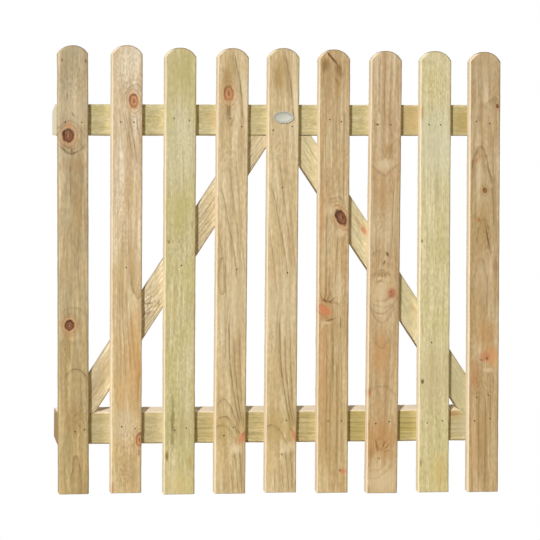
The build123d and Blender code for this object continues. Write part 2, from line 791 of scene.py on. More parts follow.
KNOT_PAINT = {
    KnotKind.DEAD: KnotPaint(
        srgb(104, 62, 42), srgb(142, 92, 66), srgb(62, 36, 26),
        srgb(206, 160, 116), srgb(182, 132, 104), srgb(160, 116, 78),
        0.95, 0.85, 0.7, 0.6, 0.6,
    ),
    KnotKind.LIVE: KnotPaint(
        srgb(178, 112, 72), srgb(206, 150, 106), srgb(116, 66, 40),
        srgb(212, 170, 122), srgb(98, 54, 34), srgb(176, 134, 86),
        0.85, 0.75, 0.55, 0.8, 0.55,
    ),
    KnotKind.FAINT: KnotPaint(
        srgb(184, 122, 86), srgb(202, 144, 104), srgb(150, 98, 66),
        srgb(204, 156, 112), srgb(136, 86, 62), srgb(172, 132, 90),
        0.65, 0.45, 0.5, 0.5, 0.4,
    ),
}


@dataclass(frozen=True)
class Place:
    """A board's own axes: across, into its depth and along, with its origin at the foot of its face."""

    origin: Vector
    across: Vector
    along: Vector

    def axes(self) -> Matrix:
        """Gives the matrix that turns board directions into row directions."""
        depth = self.along.cross(self.across)
        return Matrix((self.across, depth, self.along)).transposed()

    def local_mm(self, point: Vector) -> Vector:
        """Gives a point of the row in board millimetres."""
        return (self.axes().transposed() @ (point - self.origin)) / MM

    def point(self, across_mm: float, depth_mm: float, along_mm: float) -> Vector:
        """Gives the row's point at a place on the board."""
        return self.origin + self.axes() @ (Vector((across_mm, depth_mm, along_mm)) * MM)


@dataclass
class TimberMaterial:
    """The material of one board, put together from the shared effects."""

    name: str
    timber: Timber
    place: Place
    half_width_mm: float
    crown_mm: float
    shelf: EffectShelf
    graph: Graph = field(init=False)
    vector: Socket = field(init=False)
    fibres: Outputs = field(init=False)

    late_share = 0.72
    line_dark = 0.62
    line_weight = 1.25
    torn_weight = 0.7
    fleck_share = 0.14
    saw_share = 0.5
    # How strongly the painted shade on the right arris and crown rim covers.
    arris_shade_share = 0.5
    end_share = 0.75
    bump_strength = 0.55
    bump_mm = 0.1
    specular = 0.22

    def build(self) -> bpy.types.Material:
        """Wires the board's colour, sheen and relief.

        Returns:
            The finished material.
        """
        material = bpy.data.materials.new(self.name)
        material.use_nodes = True
        material.node_tree.nodes.clear()
        self.graph = Graph(material.node_tree)
        self.vector = self.board_vector()
        timber, shelf = self.timber, self.shelf
        knots = [self.mark(shelf.knot, knot) for knot in timber.knots]
        bulge = self.graph.total(outputs["Bulge"] for outputs in knots)
        rings = self.mark(shelf.rings, timber.cut, bulge=bulge, seed=timber.seed)
        self.fibres = self.mark(shelf.fibres, timber)
        colour = self.clear_wood(rings)
        for knot, outputs in zip(timber.knots, knots):
            colour = self.add_knot(colour, KNOT_PAINT[knot.kind], outputs)
        for stain in timber.stains:
            mask = self.mark(shelf.patch, stain)["Mask"]
            colour = self.graph.paint(colour, mask, stain.strength, stain.colour)
        colour = self.roughen(self.add_lines(colour))
        relief = self.relief(rings, knots)
        if timber.surface is Surface.SAWN:
            marks = self.mark(shelf.saw, timber)
            colour = self.graph.paint(colour, marks["Groove"], self.saw_share, timber.dark)
            colour = self.graph.paint(colour, marks["Ridge"], self.saw_share, timber.light)
            relief = self.graph.grow(marks["Ridge"], 2.0, relief)
        self.finish(self.edges(colour), relief)
        return material

    def mark(self, effect: Effect, mark: object, **values: Value) -> Outputs:
        """Places an effect on the board and gives its outputs."""
        return effect.use(self.graph, self.vector, mark, **values)

    def board_vector(self) -> Socket:
        """Turns object coordinates into the board's own millimetres."""
        mapping = self.graph.node("Mapping", vector_type="TEXTURE")
        mapping.inputs["Location"].default_value = self.place.origin
        mapping.inputs["Rotation"].default_value = self.place.axes().to_euler()
        mapping.inputs["Scale"].default_value = (MM, MM, MM)
        self.graph.feed(mapping.inputs["Vector"], self.graph.node("TexCoord").outputs["Object"])
        return mapping.outputs[0]

    def clear_wood(self, rings: Outputs) -> Socket:
        """Colours the wood between knots.

        Args:
            rings: Outputs of the growth rings.

        Returns:
            The colour of clear wood.
        """
        graph, timber, fibres = self.graph, self.timber, self.fibres
        shares = (1.0 - self.late_share, self.late_share)
        middle = tuple(shares[0] * a + shares[1] * b for a, b in zip(timber.light, timber.dark))
        colour = graph.mix(graph.span(fibres["Streak"], 0.32, 0.7), timber.light, middle)
        mottle = graph.span(fibres["Mottle"], 0.38, 0.66)
        colour = graph.paint(colour, mottle, timber.tint_amount, timber.tint)
        colour = graph.paint(colour, rings["Late Wood"], timber.cut.contrast, timber.dark)
        if timber.cast:
            height = graph.span(graph.split(self.vector)[2], 0.0, PICKET_LENGTH_MM)
            cast = graph.mix(1.0, colour, graph.mix(height, FOOT_CAST, CROWN_CAST), "MULTIPLY")
            colour = graph.mix(timber.cast, colour, cast)
        fine = graph.span(fibres["Fine"], 0.25, 0.75, 0.9, 1.1)
        speck = graph.span(fibres["Speck"], 0.26, 0.74, 0.86, 1.14)
        colour = graph.dim(colour, graph.times(fine, speck))
        return graph.paint(colour, fibres["Fleck"], self.fleck_share, timber.dark)

    def add_knot(self, colour: Value, paint: KnotPaint, outputs: Outputs) -> Socket:
        """Paints one knot over the clear wood.

        Args:
            colour: Colour so far.
            paint: The knot's colours.
            outputs: Outputs of its effect.

        Returns:
            The colour with the knot.
        """
        graph = self.graph
        colour = graph.paint(colour, outputs["Halo"], paint.halo_share, paint.halo)
        core = graph.mix(outputs["Rings"], paint.core_dark, paint.core_light)
        core = graph.paint(core, outputs["Heart"], paint.heart_share, paint.heart)
        colour = graph.paint(colour, outputs["Waves"], paint.wave_share, paint.wave)
        colour = graph.paint(colour, outputs["Core"], paint.core_share, core)
        return graph.paint(colour, outputs["Border"], paint.border_share, paint.border)

    def add_lines(self, colour: Value) -> Value:
        """Draws the lines that close on the face, and those that run up it.

        Args:
            colour: Colour so far.

        Returns:
            The colour with its lines.
        """
        graph, dark = self.graph, self.timber.dark
        shade = tuple(self.line_dark * channel for channel in dark[:3]) + (1.0,)
        for arch in self.timber.arches:
            outputs = self.mark(self.shelf.arch, arch)
            if arch.fill:
                colour = graph.paint(colour, outputs["Inside"], arch.fill, dark)
            colour = graph.paint(colour, outputs["Mask"], arch.strength * self.line_weight, shade)
        for line in self.timber.lines:
            mask = self.mark(self.shelf.line, line)["Mask"]
            colour = graph.paint(colour, mask, line.strength * self.line_weight, shade)
        return colour

    def roughen(self, colour: Value) -> Value:
        """Breaks the colour up where fibres are torn.

        Args:
            colour: Colour so far.

        Returns:
            The colour with its rough patches.
        """
        torn = self.graph.dim(colour, self.graph.span(self.fibres["Tick"], 0.36, 0.64, 0.6, 1.32))
        for patch in self.timber.rough:
            mask = self.mark(self.shelf.patch, patch)["Mask"]
            colour = self.graph.paint(colour, mask, patch.strength * self.torn_weight, torn)
        return colour

    def relief(self, rings: Outputs, knots: Sequence[Outputs]) -> Value:
        """Adds up the height of late wood, fibres and knots, in tenths of a millimetre."""
        graph = self.graph
        height = graph.times(rings["Late Wood"], 0.7)
        height = graph.grow(self.fibres["Fine"], 1.5, height)
        height = graph.grow(graph.noise(self.vector, (1.6, 1.6, 0.3), 3.0), 0.7, height)
        for outputs in knots:
            height = graph.grow(outputs["Border"], -1.6, height)
            height = graph.grow(outputs["Core"], 1.2, height)
        return height

    def edges(self, colour: Value) -> Socket:
        """Paints the sides paler as painted highlight, the right arris and crown rim darker as painted
        shade, and the end grain darker.

        Args:
            colour: Colour so far.

        Returns:
            The colour with its sides and ends.
        """
        graph, timber = self.graph, self.timber
        faces = self.mark(self.shelf.faces, timber, half_width=self.half_width_mm, crown=self.crown_mm)
        # The sides and left border take the paler paint: painted highlight.
        pale = graph.mix(timber.side_highlight, colour, SIDE_HIGHLIGHT)
        # Right arris and crown rim painted darker: painted shade.
        colour = graph.paint(colour, faces["Rim"], self.arris_shade_share, ARRIS_SHADE)
        colour = graph.mix(faces["Side"], colour, pale)
        directions = (graph.node("NewGeometry").outputs["Normal"], tuple(self.place.along))
        facing = graph.step("VectorMath", directions, operation="DOT_PRODUCT")["Value"]
        end = graph.span(graph.math("ABSOLUTE", facing), 0.3, 0.75)
        # On the crown the dark end grain is kept off its left part, which faces the light, so that part
        # stays pale: painted highlight.
        if self.crown_mm < PICKET_LENGTH_MM:
            lit = graph.span(graph.split(self.vector)[0], -24.0, -6.0)
            end = graph.times(end, graph.math("MAXIMUM", lit, graph.span(facing, 0.0, -0.2)))
        return graph.paint(colour, end, self.end_share, timber.end)

    def finish(self, colour: Value, relief: Value) -> None:
        """Closes the material with its shader."""
        graph = self.graph
        shader = graph.node("BsdfPrincipled")
        bump = graph.node("Bump")
        bump.inputs["Strength"].default_value = self.bump_strength
        bump.inputs["Distance"].default_value = self.bump_mm * MM
        graph.feed(bump.inputs["Height"], relief)
        graph.feed(shader.inputs["Base Color"], colour)
        graph.feed(shader.inputs["Roughness"], graph.span(self.fibres["Streak"], 0.3, 0.7, 0.74, 0.88))
        graph.feed(shader.inputs["Normal"], bump.outputs["Normal"])
        shader.inputs["Specular IOR Level"].default_value = self.specular
        graph.feed(graph.node("OutputMaterial").inputs["Surface"], shader.outputs[0])


def plain_material(name: str, colour: Colour, roughness: float, metallic: float = 0.0) -> bpy.types.Material:
    """Makes a material of one colour.

    Args:
        name: Its name.
        colour: Its colour.
        roughness: Its roughness.
        metallic: How far it is metal.

    Returns:
        The material.
    """
    material = bpy.data.materials.new(name)
    material.use_nodes = True
    shader = material.node_tree.nodes["Principled BSDF"]
    shader.inputs["Base Color"].default_value = colour
    shader.inputs["Roughness"].default_value = roughness
    shader.inputs["Metallic"].default_value = metallic
    return material


def finished(
    mesh: bmesh.types.BMesh, data_name: str, piece_name: str, sharp_degrees: Optional[float] = None
) -> bpy.types.Object:
    """Turns a mesh into an object of the scene.

    Args:
        mesh: The mesh, which is freed.
        data_name: Name of the object's data.
        piece_name: Name of the object.
        sharp_degrees: Angle from which edges stay sharp on a smooth piece, or none for a flat one.

    Returns:
        The object.
    """
    data = bpy.data.meshes.new(data_name)
    mesh.to_mesh(data)
    mesh.free()
    if sharp_degrees is not None:
        data.shade_smooth()
        data.set_sharp_from_angle(angle=math.radians(sharp_degrees))
    piece = bpy.data.objects.new(piece_name, data)
    bpy.context.collection.objects.link(piece)
    return piece


def facing_front(point: Vector) -> Matrix:
    """Gives the matrix that stands a flat shape at a point, parallel to the pickets' faces."""
    return Matrix.Translation(point) @ Matrix.Rotation(math.radians(90), 4, "X")


def pull_out(mesh: bmesh.types.BMesh, travel: Sequence[float]) -> None:
    """Draws all the faces of a flat mesh out into a solid."""
    far = bmesh.ops.extrude_face_region(mesh, geom=mesh.faces[:])["geom"]
    bmesh.ops.translate(mesh, verts=[v for v in far if isinstance(v, bmesh.types.BMVert)], vec=travel)
    bmesh.ops.recalc_face_normals(mesh, faces=mesh.faces[:])


def ease_edges(mesh: bmesh.types.BMesh, edges: list[Edge], radius: float, segments: int = 3) -> None:
    """Rounds edges off."""
    bmesh.ops.bevel(
        mesh,
        geom=edges,
        offset=radius,
        offset_type="OFFSET",
        segments=segments,
        profile=0.5,
        affect="EDGES",
        material=-1,
    )


def run_through(mesh: bmesh.types.BMesh, travel: Vector, arris: float, cuts: int) -> None:
    """Draws a section out into a board with eased arrises.

    Args:
        mesh: Holds the section's grid.
        travel: From the near end to the far end.
        arris: Radius of the long arrises.
        cuts: Number of cuts along the board.
    """
    pull_out(mesh, travel)

    def long_edges() -> list[Edge]:
        """Finds the edges that run along the board."""
        least = travel.length * LONG_SHARE
        return [edge for edge in mesh.edges if (edge.verts[1].co - edge.verts[0].co).length > least]

    ease_edges(mesh, [edge for edge in long_edges() if edge.calc_face_angle() > ARRIS_ANGLE], arris)
    bmesh.ops.subdivide_edges(mesh, edges=long_edges(), cuts=cuts, use_grid_fill=True)


@dataclass
class Board:
    """A piece of timber that stands for one node of the frame."""

    node: str
    timber: Timber
    slot: Slot
    low: Vector = field(init=False)
    high: Vector = field(init=False)
    piece: Optional[bpy.types.Object] = field(init=False, default=None)

    sharp_degrees = 40.0
    border_mm = 5.0
    wear_layers = ((28.0, 0.12, 0.3), (150.0, 0.04, 0.16))
    seed_steps = (3.7, 1.3, 9.1)

    def __post_init__(self) -> None:
        """Reads the node's box from the frame."""
        low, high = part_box(self.node)
        self.low = Vector(low)
        self.high = Vector(high)

    def place(self) -> Place:
        """Gives the board's own axes."""
        raise NotImplementedError

    def half_width_mm(self) -> float:
        """Gives half the width of the board's face."""
        raise NotImplementedError

    def crown_mm(self) -> float:
        """Gives the height of the crown's centre, out of reach for a board without one."""
        return NO_CROWN_MM

    def shape(self, mesh: bmesh.types.BMesh) -> None:
        """Makes the board's plain shape."""
        raise NotImplementedError

    def build(self) -> bpy.types.Object:
        """Makes the worn board and puts it in place of its node.

        Returns:
            The finished piece.
        """
        mesh = bmesh.new()
        self.shape(mesh)
        bmesh.ops.recalc_face_normals(mesh, faces=mesh.faces[:])
        self.wear(mesh)
        self.piece = finished(mesh, self.node, f"{self.node}_worn", self.sharp_degrees)
        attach(self.piece, BODY)
        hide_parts(self.node)
        log.info("%s: %d faces", self.piece.name, len(self.piece.data.polygons))
        return self.piece

    def dress(self, shelf: EffectShelf, hole: bpy.types.Material) -> None:
        """Gives the board its wood, and its nail holes theirs."""
        wood = TimberMaterial(
            f"{self.node}_wood", self.timber, self.place(), self.half_width_mm(), self.crown_mm(), shelf
        ).build()
        self.piece.data.materials.append(wood)
        self.piece.data.materials.append(hole)

    def wear(self, mesh: bmesh.types.BMesh) -> None:
        """Roughens the long borders by parts of a millimetre, and lets the faces undulate.

        Each layer of wear holds its scale, and its depth on the face and more at the border, in millimetres.
        """
        place = self.place()
        half = self.half_width_mm()
        shift = Vector([self.timber.seed * step for step in self.seed_steps])
        for vert in mesh.verts:
            start = vert.co.copy()
            border = max(0.0, 1.0 - (half - abs(place.local_mm(start).x)) / self.border_mm)
            for scale, face_mm, more_mm in self.wear_layers:
                vert.co += noise.noise_vector(start * scale + shift) * (face_mm + more_mm * border) * MM


@dataclass
class Picket(Board):
    """An upright board with a segmental crown and nail holes in its face."""

    nails: tuple[tuple[float, float], ...]
    setting: Setting
    sunk: list[Vector] = field(init=False, default_factory=list)

    columns = 16
    rows = 225
    shoulder_mm = 60.0
    border_angle = 1.2
    face_reach_mm = 1.0
    foot_reach_mm = 0.5
    arris_mm = 2.0
    foot_arris_mm = 0.8
    foot_mm = 30.0
    foot_slope = 0.16
    hole_mm = 1.55
    hole_depth_mm = 4.0
    hole_taper = 0.8
    hole_sides = 12
    hole_search_mm = 6.0
    front_share = 0.99

    def place(self) -> Place:
        """Stands the board on its foot, seen from its face."""
        lean = self.setting.lean / PICKET_LENGTH_MM
        middle = (self.low.x + self.high.x) / 2 + (self.setting.shift + self.setting.lean / 2) * MM
        foot = Vector((middle, self.low.y, self.low.z + self.setting.rise * MM))
        return Place(foot, Vector((1, 0, lean)).normalized(), Vector((-lean, 0, 1)).normalized())

    def half_width_mm(self) -> float:
        """Gives half the width of the board's face."""
        return (self.high.x - self.low.x) / 2 / MM + self.setting.width / 2

    def crown_mm(self) -> float:
        """Gives the height of the crown's centre."""
        return PICKET_LENGTH_MM - CROWN_RADIUS_MM

    def shape(self, mesh: bmesh.types.BMesh) -> None:
        """Bends a grid's top rows into the crown, brings it back by the thickness and eases its arrises."""
        place = self.place()
        half = self.half_width_mm()
        bmesh.ops.create_grid(mesh, x_segments=self.columns, y_segments=self.rows, size=1.0)
        shoulder = PICKET_LENGTH_MM - self.shoulder_mm
        for vert in mesh.verts:
            across = vert.co.x * half
            along = (vert.co.y + 1.0) / 2 * PICKET_LENGTH_MM
            crown = self.crown_mm() + math.sqrt(CROWN_RADIUS_MM**2 - across**2)
            if along > shoulder:
                along = shoulder + (along - shoulder) * (crown - shoulder) / self.shoulder_mm
            vert.co = place.point(across, 0.0, along)
        pull_out(mesh, (0, self.high.y - self.low.y, 0))
        ease_edges(mesh, self.borders(mesh, foot=False), self.arris_mm * MM)
        ease_edges(mesh, self.borders(mesh, foot=True), self.foot_arris_mm * MM, segments=1)
        for vert in mesh.verts:
            local = place.local_mm(vert.co)
            if local.z < self.foot_mm:
                vert.co += place.along * (local.y * self.foot_slope * (1.0 - local.z / self.foot_mm) * MM)
        for across, along in self.nails:
            self.sink(mesh, place.point(across, 0.0, along))

    def borders(self, mesh: bmesh.types.BMesh, foot: bool) -> list[Edge]:
        """Finds the borders of both faces.

        Args:
            mesh: The board.
            foot: Whether to find those at the foot, or all the others.

        Returns:
            The edges of the borders.
        """
        place = self.place()
        found = []
        for edge in mesh.edges:
            if not edge.is_manifold or edge.calc_face_angle() < self.border_angle:
                continue
            ends = [place.local_mm(vert.co) for vert in edge.verts]
            on_face = abs(ends[0].y - ends[1].y) < self.face_reach_mm
            if on_face and (max(end.z for end in ends) < self.foot_reach_mm) is foot:
                found.append(edge)
        return found

    def sink(self, mesh: bmesh.types.BMesh, point: Vector) -> None:
        """Opens a nail hole in the face's nearest square and sinks it.

        Args:
            mesh: The board.
            point: Where the nail went in.
        """

        def away(face: bmesh.types.BMFace) -> float:
            """Gives a face's distance from the nail."""
            return (face.calc_center_median() - point).length

        front = [face for face in mesh.faces if face.normal.y < -self.front_share and len(face.verts) == 4]
        square = min((face for face in front if away(face) < self.hole_search_mm * MM), key=away)
        centre = square.calc_center_median()
        border = square.edges[:]
        bmesh.ops.delete(mesh, geom=[square], context="FACES_ONLY")
        turn = facing_front(centre)
        ring = bmesh.ops.create_circle(
            mesh, cap_ends=False, segments=self.hole_sides, radius=self.hole_mm * MM, matrix=turn
        )["verts"]
        rim = list(dict.fromkeys(e for v in ring for e in v.link_edges))
        bmesh.ops.triangle_fill(mesh, use_beauty=True, edges=border + rim, normal=(0, -1, 0))
        wall = bmesh.ops.extrude_edge_only(mesh, edges=rim)["geom"]
        inner = [v for v in wall if isinstance(v, bmesh.types.BMVert)]
        bmesh.ops.translate(mesh, verts=inner, vec=(0, self.hole_depth_mm * MM, 0))
        taper = (self.hole_taper, 1.0, self.hole_taper)
        bmesh.ops.scale(mesh, verts=inner, vec=taper, space=Matrix.Translation(-centre))
        rim = [e for e in wall if isinstance(e, bmesh.types.BMEdge)]
        floor = bmesh.ops.contextual_create(mesh, geom=rim)["faces"]
        # The hole's wall and floor take the dark hole paint: painted shade in the recess.
        for face in [f for f in wall if isinstance(f, bmesh.types.BMFace)] + floor:
            face.material_index = 1
        self.sunk.append(centre)


@dataclass
class Rail(Board):
    """A rail across the leaf, with the back of its outer edge sloped off."""

    weathered_up: bool = False
    tilt_mm: float = 0.0
    start_mm: float = 0.0
    lift_mm: float = 0.0

    columns = 10
    rows = 14
    cuts = 220
    arris_mm = 3.0
    run_mm = 36.0
    drop_mm = 14.0

    def place(self) -> Place:
        """Lays the board along the leaf, with across pointing down."""
        start = Vector((self.low.x, self.low.y, (self.low.z + self.high.z) / 2))
        return Place(start, Vector((0, 0, -1)), Vector((1, 0, 0)))

    def half_width_mm(self) -> float:
        """Gives half the height of the rail."""
        return (self.high.z - self.low.z) / 2 / MM

    def shape(self, mesh: bmesh.types.BMesh) -> None:
        """Slopes one edge of a section, runs it along the leaf and eases its arrises."""
        bmesh.ops.create_grid(mesh, x_segments=self.columns, y_segments=self.rows, size=1.0)
        size = self.high - self.low
        flat = size.y - self.run_mm * MM
        for vert in mesh.verts:
            depth = (vert.co.x + 1) / 2 * size.y
            rise = (vert.co.y + 1) / 2
            slope = max(0.0, depth - flat) / (self.run_mm * MM) * self.drop_mm * MM
            height = rise * (size.z - slope)
            height = self.low.z + height if self.weathered_up else self.high.z - size.z + slope + height
            height += rise * depth / size.y * self.lift_mm * MM
            vert.co = Vector((self.low.x + self.start_mm * MM, self.low.y + depth, height))
        run_through(mesh, Vector((size.x - self.start_mm * MM, 0, 0)), self.arris_mm * MM, self.cuts)
        for vert in mesh.verts:
            vert.co.z += ((vert.co.x - self.low.x) / size.x - 0.5) * self.tilt_mm * MM


@dataclass
class Brace(Board):
    """A sloping board with both ends cut level."""

    rises_right: bool = True

    columns = 14
    rows = 10
    cuts = 160
    arris_mm = 3.0

    def slope(self) -> float:
        """Gives the angle at which a bar of this width fits corner to corner in its box."""
        size = self.high - self.low
        diagonal = math.hypot(size.x, size.z)
        return math.atan2(size.z, size.x) + math.asin(BRACE_WIDTH_MM * MM / diagonal)

    def along(self) -> Vector:
        """Gives the direction from foot to head."""
        side = 1.0 if self.rises_right else -1.0
        return Vector((side * math.cos(self.slope()), 0, math.sin(self.slope())))

    def cut_length(self) -> float:
        """Gives the length of a level cut through the board."""
        return BRACE_WIDTH_MM * MM / math.sin(self.slope())

    def foot(self) -> float:
        """Gives the low end of the foot's cut along the leaf."""
        return self.low.x if self.rises_right else self.high.x - self.cut_length()

    def place(self) -> Place:
        """Lays the board along its slope."""
        along = self.along()
        start = Vector((self.foot() + self.cut_length() / 2, self.low.y, self.low.z))
        return Place(start, Vector((0, 1, 0)).cross(along), along)

    def half_width_mm(self) -> float:
        """Gives half the width of the brace."""
        return BRACE_WIDTH_MM / 2

    def shape(self, mesh: bmesh.types.BMesh) -> None:
        """Runs a level section up the slope and eases its arrises."""
        bmesh.ops.create_grid(mesh, x_segments=self.columns, y_segments=self.rows, size=1.0)
        size = self.high - self.low
        for vert in mesh.verts:
            across = self.foot() + (vert.co.x + 1) / 2 * self.cut_length()
            vert.co = Vector((across, self.low.y + (vert.co.y + 1) / 2 * size.y, self.low.z))
        rise = self.along() * (size.z / self.along().z)
        run_through(mesh, rise, self.arris_mm * MM, self.cuts)


@dataclass
class Nails:
    """Heads of the wire nails, punched below the pickets' faces."""

    points: Sequence[Vector]

    radius_mm = 1.3
    dish = 0.8
    height_mm = 0.8
    depth_mm = 1.5
    sides = 12

    def build(self) -> bpy.types.Object:
        """Makes every head as a small dished disc.

        Returns:
            The finished piece.
        """
        mesh = bmesh.new()
        for point in self.points:
            bmesh.ops.create_cone(
                mesh,
                cap_ends=True,
                segments=self.sides,
                radius1=self.radius_mm * MM,
                radius2=self.radius_mm * self.dish * MM,
                depth=self.height_mm * MM,
                matrix=facing_front(point + Vector((0, self.depth_mm * MM, 0))),
            )
        piece = finished(mesh, "nails", "nail_heads")
        piece.data.materials.append(plain_material("rusty_steel", srgb(116, 88, 62), 0.7, 0.2))
        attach(piece, BODY)
        log.info("%s: %d heads", piece.name, len(self.points))
        return piece


@dataclass
class OvalPlate:
    """A bare oval plate with a raised border, pinned to a picket's face.

    Each step from the border inward holds its width and rise in millimetres, and the number of its material.
    """

    centre: Vector

    half_width_mm = 21.0
    half_height_mm = 12.2
    thickness_mm = 1.6
    sides = 64
    sharp_degrees = 35.0
    # Steps of material 1 are grooves painted darker: painted shade in the recess.
    steps = ((1.3, 0.0, 0), (0.9, -0.5, 1), (1.3, 0.0, 0), (0.7, -0.3, 1))

    def build(self) -> bpy.types.Object:
        """Draws an oval out into a plate, sinks its field and eases its border.

        Returns:
            The finished piece.
        """
        mesh = bmesh.new()
        oval = Matrix.Diagonal((self.half_width_mm * MM, self.half_height_mm * MM, 1.0, 1.0))
        turn = facing_front(self.centre) @ oval
        bmesh.ops.create_circle(mesh, cap_ends=True, segments=self.sides, radius=1.0, matrix=turn)
        pull_out(mesh, (0, -self.thickness_mm * MM, 0))
        # The side walls take the darker groove paint: a painted dark outline standing for the plate's
        # shadow.
        for face in mesh.faces:
            face.material_index = 1 if len(face.verts) == 4 else 0
        for width_mm, rise_mm, material in self.steps:
            fields = (face for face in mesh.faces if len(face.verts) > 4)
            front = min(fields, key=lambda face: face.calc_center_median().y)
            ring = bmesh.ops.inset_region(mesh, faces=[front], thickness=width_mm * MM, depth=rise_mm * MM)
            for face in ring["faces"]:
                face.material_index = material
        piece = finished(mesh, "oval_plate", "oval_plate", self.sharp_degrees)
        piece.data.materials.append(plain_material("plate_metal", srgb(204, 204, 192), 0.42))
        # Darker grey for grooves and side walls: painted shade.
        piece.data.materials.append(plain_material("plate_groove_shade", srgb(140, 138, 122), 0.6))
        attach(piece, BODY)
        log.info("%s: %d faces", piece.name, len(piece.data.polygons))
        return piece


@dataclass(frozen=True)
class Lamp:
    """A distant lamp, in degrees to the left of the pickets' faces and above the horizon, with its width."""

    name: str
    strength: float
    azimuth: float
    elevation: float
    spread: float

    distance = 5.0

    def build(self) -> None:
        """Hangs the lamp."""
        lamp = bpy.data.lights.new(self.name, "SUN")
        lamp.energy = self.strength
        lamp.angle = math.radians(self.spread)
        turn, rise = math.radians(self.azimuth), math.radians(self.elevation)
        source = Vector((-math.sin(turn) * math.cos(rise), -math.cos(turn) * math.cos(rise), math.sin(rise)))
        light = bpy.data.objects.new(self.name, lamp)
        light.rotation_euler = source.to_track_quat("Z", "Y").to_euler()
        light.location = source * self.distance
        bpy.context.collection.objects.link(light)


@dataclass
class Studio:
    """A pale floor, soft light from the left, a fainter lamp behind and the camera."""

    lamps: tuple[Lamp, ...] = (
        Lamp("key_light", 2.42, 26.0, 34.0, 3.0),
        Lamp("side_light", 1.4, 62.0, 22.0, 10.0),
        Lamp("back_light", 0.45, 205.0, 30.0, 20.0),
    )
    sky: float = 0.165
    fill: Colour = (1.0, 0.88, 0.68, 1.0)
    floor_colour: Colour = (0.42, 0.38, 0.3, 1.0)
    floor_half: float = 9.0
    floor_gap: float = 0.06
    yaw: float = math.radians(13.0)
    pitch: float = math.radians(2.06)
    roll: float = math.radians(0.4)
    distance: float = 9.24
    aim_left: float = 0.0251
    aim_up: float = 0.0026
    sensor_mm: float = 36.0
    lens_mm: float = 304.5

    def build(self) -> None:
        """Sets up the stage."""
        self.floor()
        self.sky_light()
        for lamp in self.lamps:
            lamp.build()
        self.camera()
        bpy.context.scene.view_settings.view_transform = "Standard"

    def floor(self) -> None:
        """Lays a floor that the camera sees as plain white."""
        mesh = bmesh.new()
        bmesh.ops.create_grid(mesh, x_segments=1, y_segments=1, size=self.floor_half)
        bmesh.ops.translate(mesh, verts=mesh.verts[:], vec=(0, 0, CAD_BOUNDS[0][2] - self.floor_gap))
        floor = finished(mesh, "floor", "floor")
        material = plain_material("pale_floor", self.floor_colour, 0.9)
        nodes = material.node_tree.nodes
        graph = Graph(material.node_tree)
        seen = graph.node("LightPath").outputs["Is Camera Ray"]
        glow = graph.node("Emission").outputs[0]
        blend = graph.step("MixShader", (seen, nodes["Principled BSDF"].outputs[0], glow))
        graph.feed(nodes["Material Output"].inputs["Surface"], blend[0])
        floor.data.materials.append(material)

    def sky_light(self) -> None:
        """Fills the shade evenly, and shows the camera white."""
        world = bpy.data.worlds.new("studio")
        world.use_nodes = True
        graph = Graph(world.node_tree)
        background = world.node_tree.nodes["Background"]
        seen = graph.node("LightPath").outputs["Is Camera Ray"]
        graph.feed(background.inputs["Color"], graph.mix(seen, self.fill, WHITE))
        graph.feed(background.inputs["Strength"], graph.grow(seen, 1.0 - self.sky, self.sky))
        bpy.context.scene.world = world

    def camera(self) -> None:
        """Stands a long lens to the left of the leaf, a little above its middle."""
        low, high = Vector(CAD_BOUNDS[0]), Vector(CAD_BOUNDS[1])
        middle = Vector(((low.x + high.x) / 2, low.y, low.z + PICKET_LENGTH_MM * MM / 2))
        forward = Vector((math.sin(self.yaw), math.cos(self.yaw), 0)) * math.cos(self.pitch)
        forward.z = -math.sin(self.pitch)
        eye = middle - forward * self.distance
        level = Vector((math.cos(self.yaw), -math.sin(self.yaw), 0))
        target = middle - level * self.aim_left + Vector((0, 0, self.aim_up))
        ahead = (target - eye).normalized()
        level = ahead.cross(Vector((0, 0, 1))).normalized()
        upright = level.cross(ahead)
        right = level * math.cos(self.roll) + upright * math.sin(self.roll)
        up = right.cross(ahead)
        lens = bpy.data.cameras.new("camera")
        lens.sensor_width = self.sensor_mm
        lens.lens = self.lens_mm
        camera = bpy.data.objects.new("camera", lens)
        turn = Matrix((right, up, -ahead)).transposed().to_4x4()
        camera.matrix_world = Matrix.Translation(eye) @ turn
        bpy.context.collection.objects.link(camera)
        bpy.context.scene.camera = camera


GREEN = srgb(196, 186, 130)
GREY = srgb(176, 164, 136)
BROWN = srgb(150, 112, 66)
DARK = srgb(92, 66, 38)
RUST = srgb(204, 146, 98)
PALE = srgb(226, 206, 168)
SALMON = srgb(206, 134, 94)

